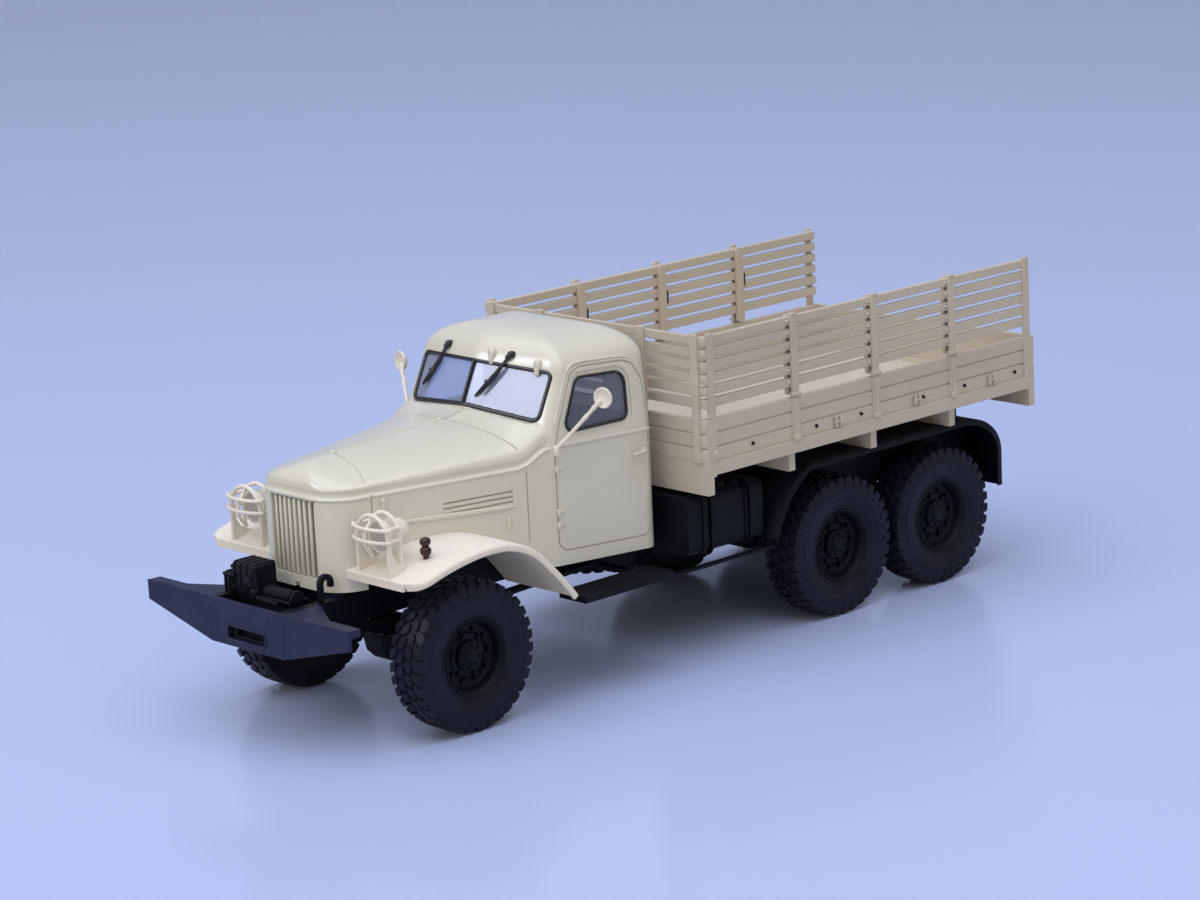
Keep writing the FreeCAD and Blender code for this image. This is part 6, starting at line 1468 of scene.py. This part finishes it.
lamps = {
    "keySoftbox": dict(place=(0.18, 0.08, 0.95), target=(0, 0, 0), size=(1.4, 1.2), power=9.3,
                       colour=(0.765, 0.81, 0.99)),
    "frontSoftbox": dict(place=(1.7, -0.1, 0.85), target=(0, 0, 0.02), size=(1.7, 1.2), power=6.9,
                         colour=(1.0, 0.89, 0.67)),
    "sideFill": dict(place=(0.2, 2.0, 0.8), target=(0, 0, 0.02), size=(2.0, 1.2), power=3.4,
                     colour=(1.0, 0.77, 0.42)),
    "paneCard": dict(place=(0.652, -0.33, 0.42), target=(0.03, 0.008, 0.05), size=(0.34, 0.26), power=2.6,
                     colour=(0.74, 0.79, 1.0)),
}


# Soft box at a place, turned to its target.
def areaLamp(name, place, target, size, power, colour):
    data = bpy.data.lights.new(name, "AREA")
    data.shape = "RECTANGLE"
    data.size, data.size_y = size
    data.energy = power
    data.color = colour
    obj = newObject(name, data)
    obj.location = place
    obj.rotation_euler = (Vector(target) - Vector(place)).to_track_quat("-Z", "Y").to_euler()
    return obj


lit = {name: areaLamp(name, **size) for name, size in lamps.items()}
lit["sideFill"].visible_glossy = False  # no glare of it on the floor from behind the truck
paneCard = lit["paneCard"]
paneCard.visible_diffuse = False  # a card that only shows as a reflection in glass and gloss
paneCard.visible_transmission = False
notFloor = bpy.data.collections.new("cardReceivers")
notFloor.objects.link(floor)
notFloor.collection_objects[0].light_linking.link_state = "EXCLUDE"
paneCard.light_linking.receiver_collection = notFloor  # no glare of the card on the floor

sky = {"Color": (0.97, 0.93, 0.82, 1.0), "Strength": 0.42}
world = bpy.data.worlds.new("studio")
bpy.context.scene.world = world
world.use_nodes = True
feed(world.node_tree, world.node_tree.nodes["Background"], sky)

shot = dict(place=(0.4297, 0.4588, 0.1809), azimuth=47.04, elevation=13.29, roll=-2.71, focal=3775.1,
            wide=1200, sensor=36.0)


# The photograph's viewpoint: a direction from the truck, a roll about it and a focal length in pixels.
def makeCamera():
    data = bpy.data.cameras.new("shot")
    obj = newObject("shot", data)
    data.sensor_width = shot["sensor"]
    data.lens = shot["focal"] * shot["sensor"] / shot["wide"]
    azimuth, elevation, roll = (math.radians(shot[angle]) for angle in ("azimuth", "elevation", "roll"))
    back = Vector((math.cos(azimuth) * math.cos(elevation), math.sin(azimuth) * math.cos(elevation),
                   math.sin(elevation)))
    right = (-back).cross(Vector((0, 0, 1))).normalized()
    up = right.cross(-back)
    rolledRight = right * math.cos(roll) + up * math.sin(roll)
    rolledUp = -right * math.sin(roll) + up * math.cos(roll)
    turn = Matrix((rolledRight, rolledUp, back)).transposed()
    obj.matrix_world = Matrix.Translation(shot["place"]) @ turn.to_4x4()
    data.clip_start = 0.01
    bpy.context.scene.camera = obj


makeCamera()
bpy.context.scene.view_settings.view_transform = "Standard"
print("stage, lamps and camera ready")
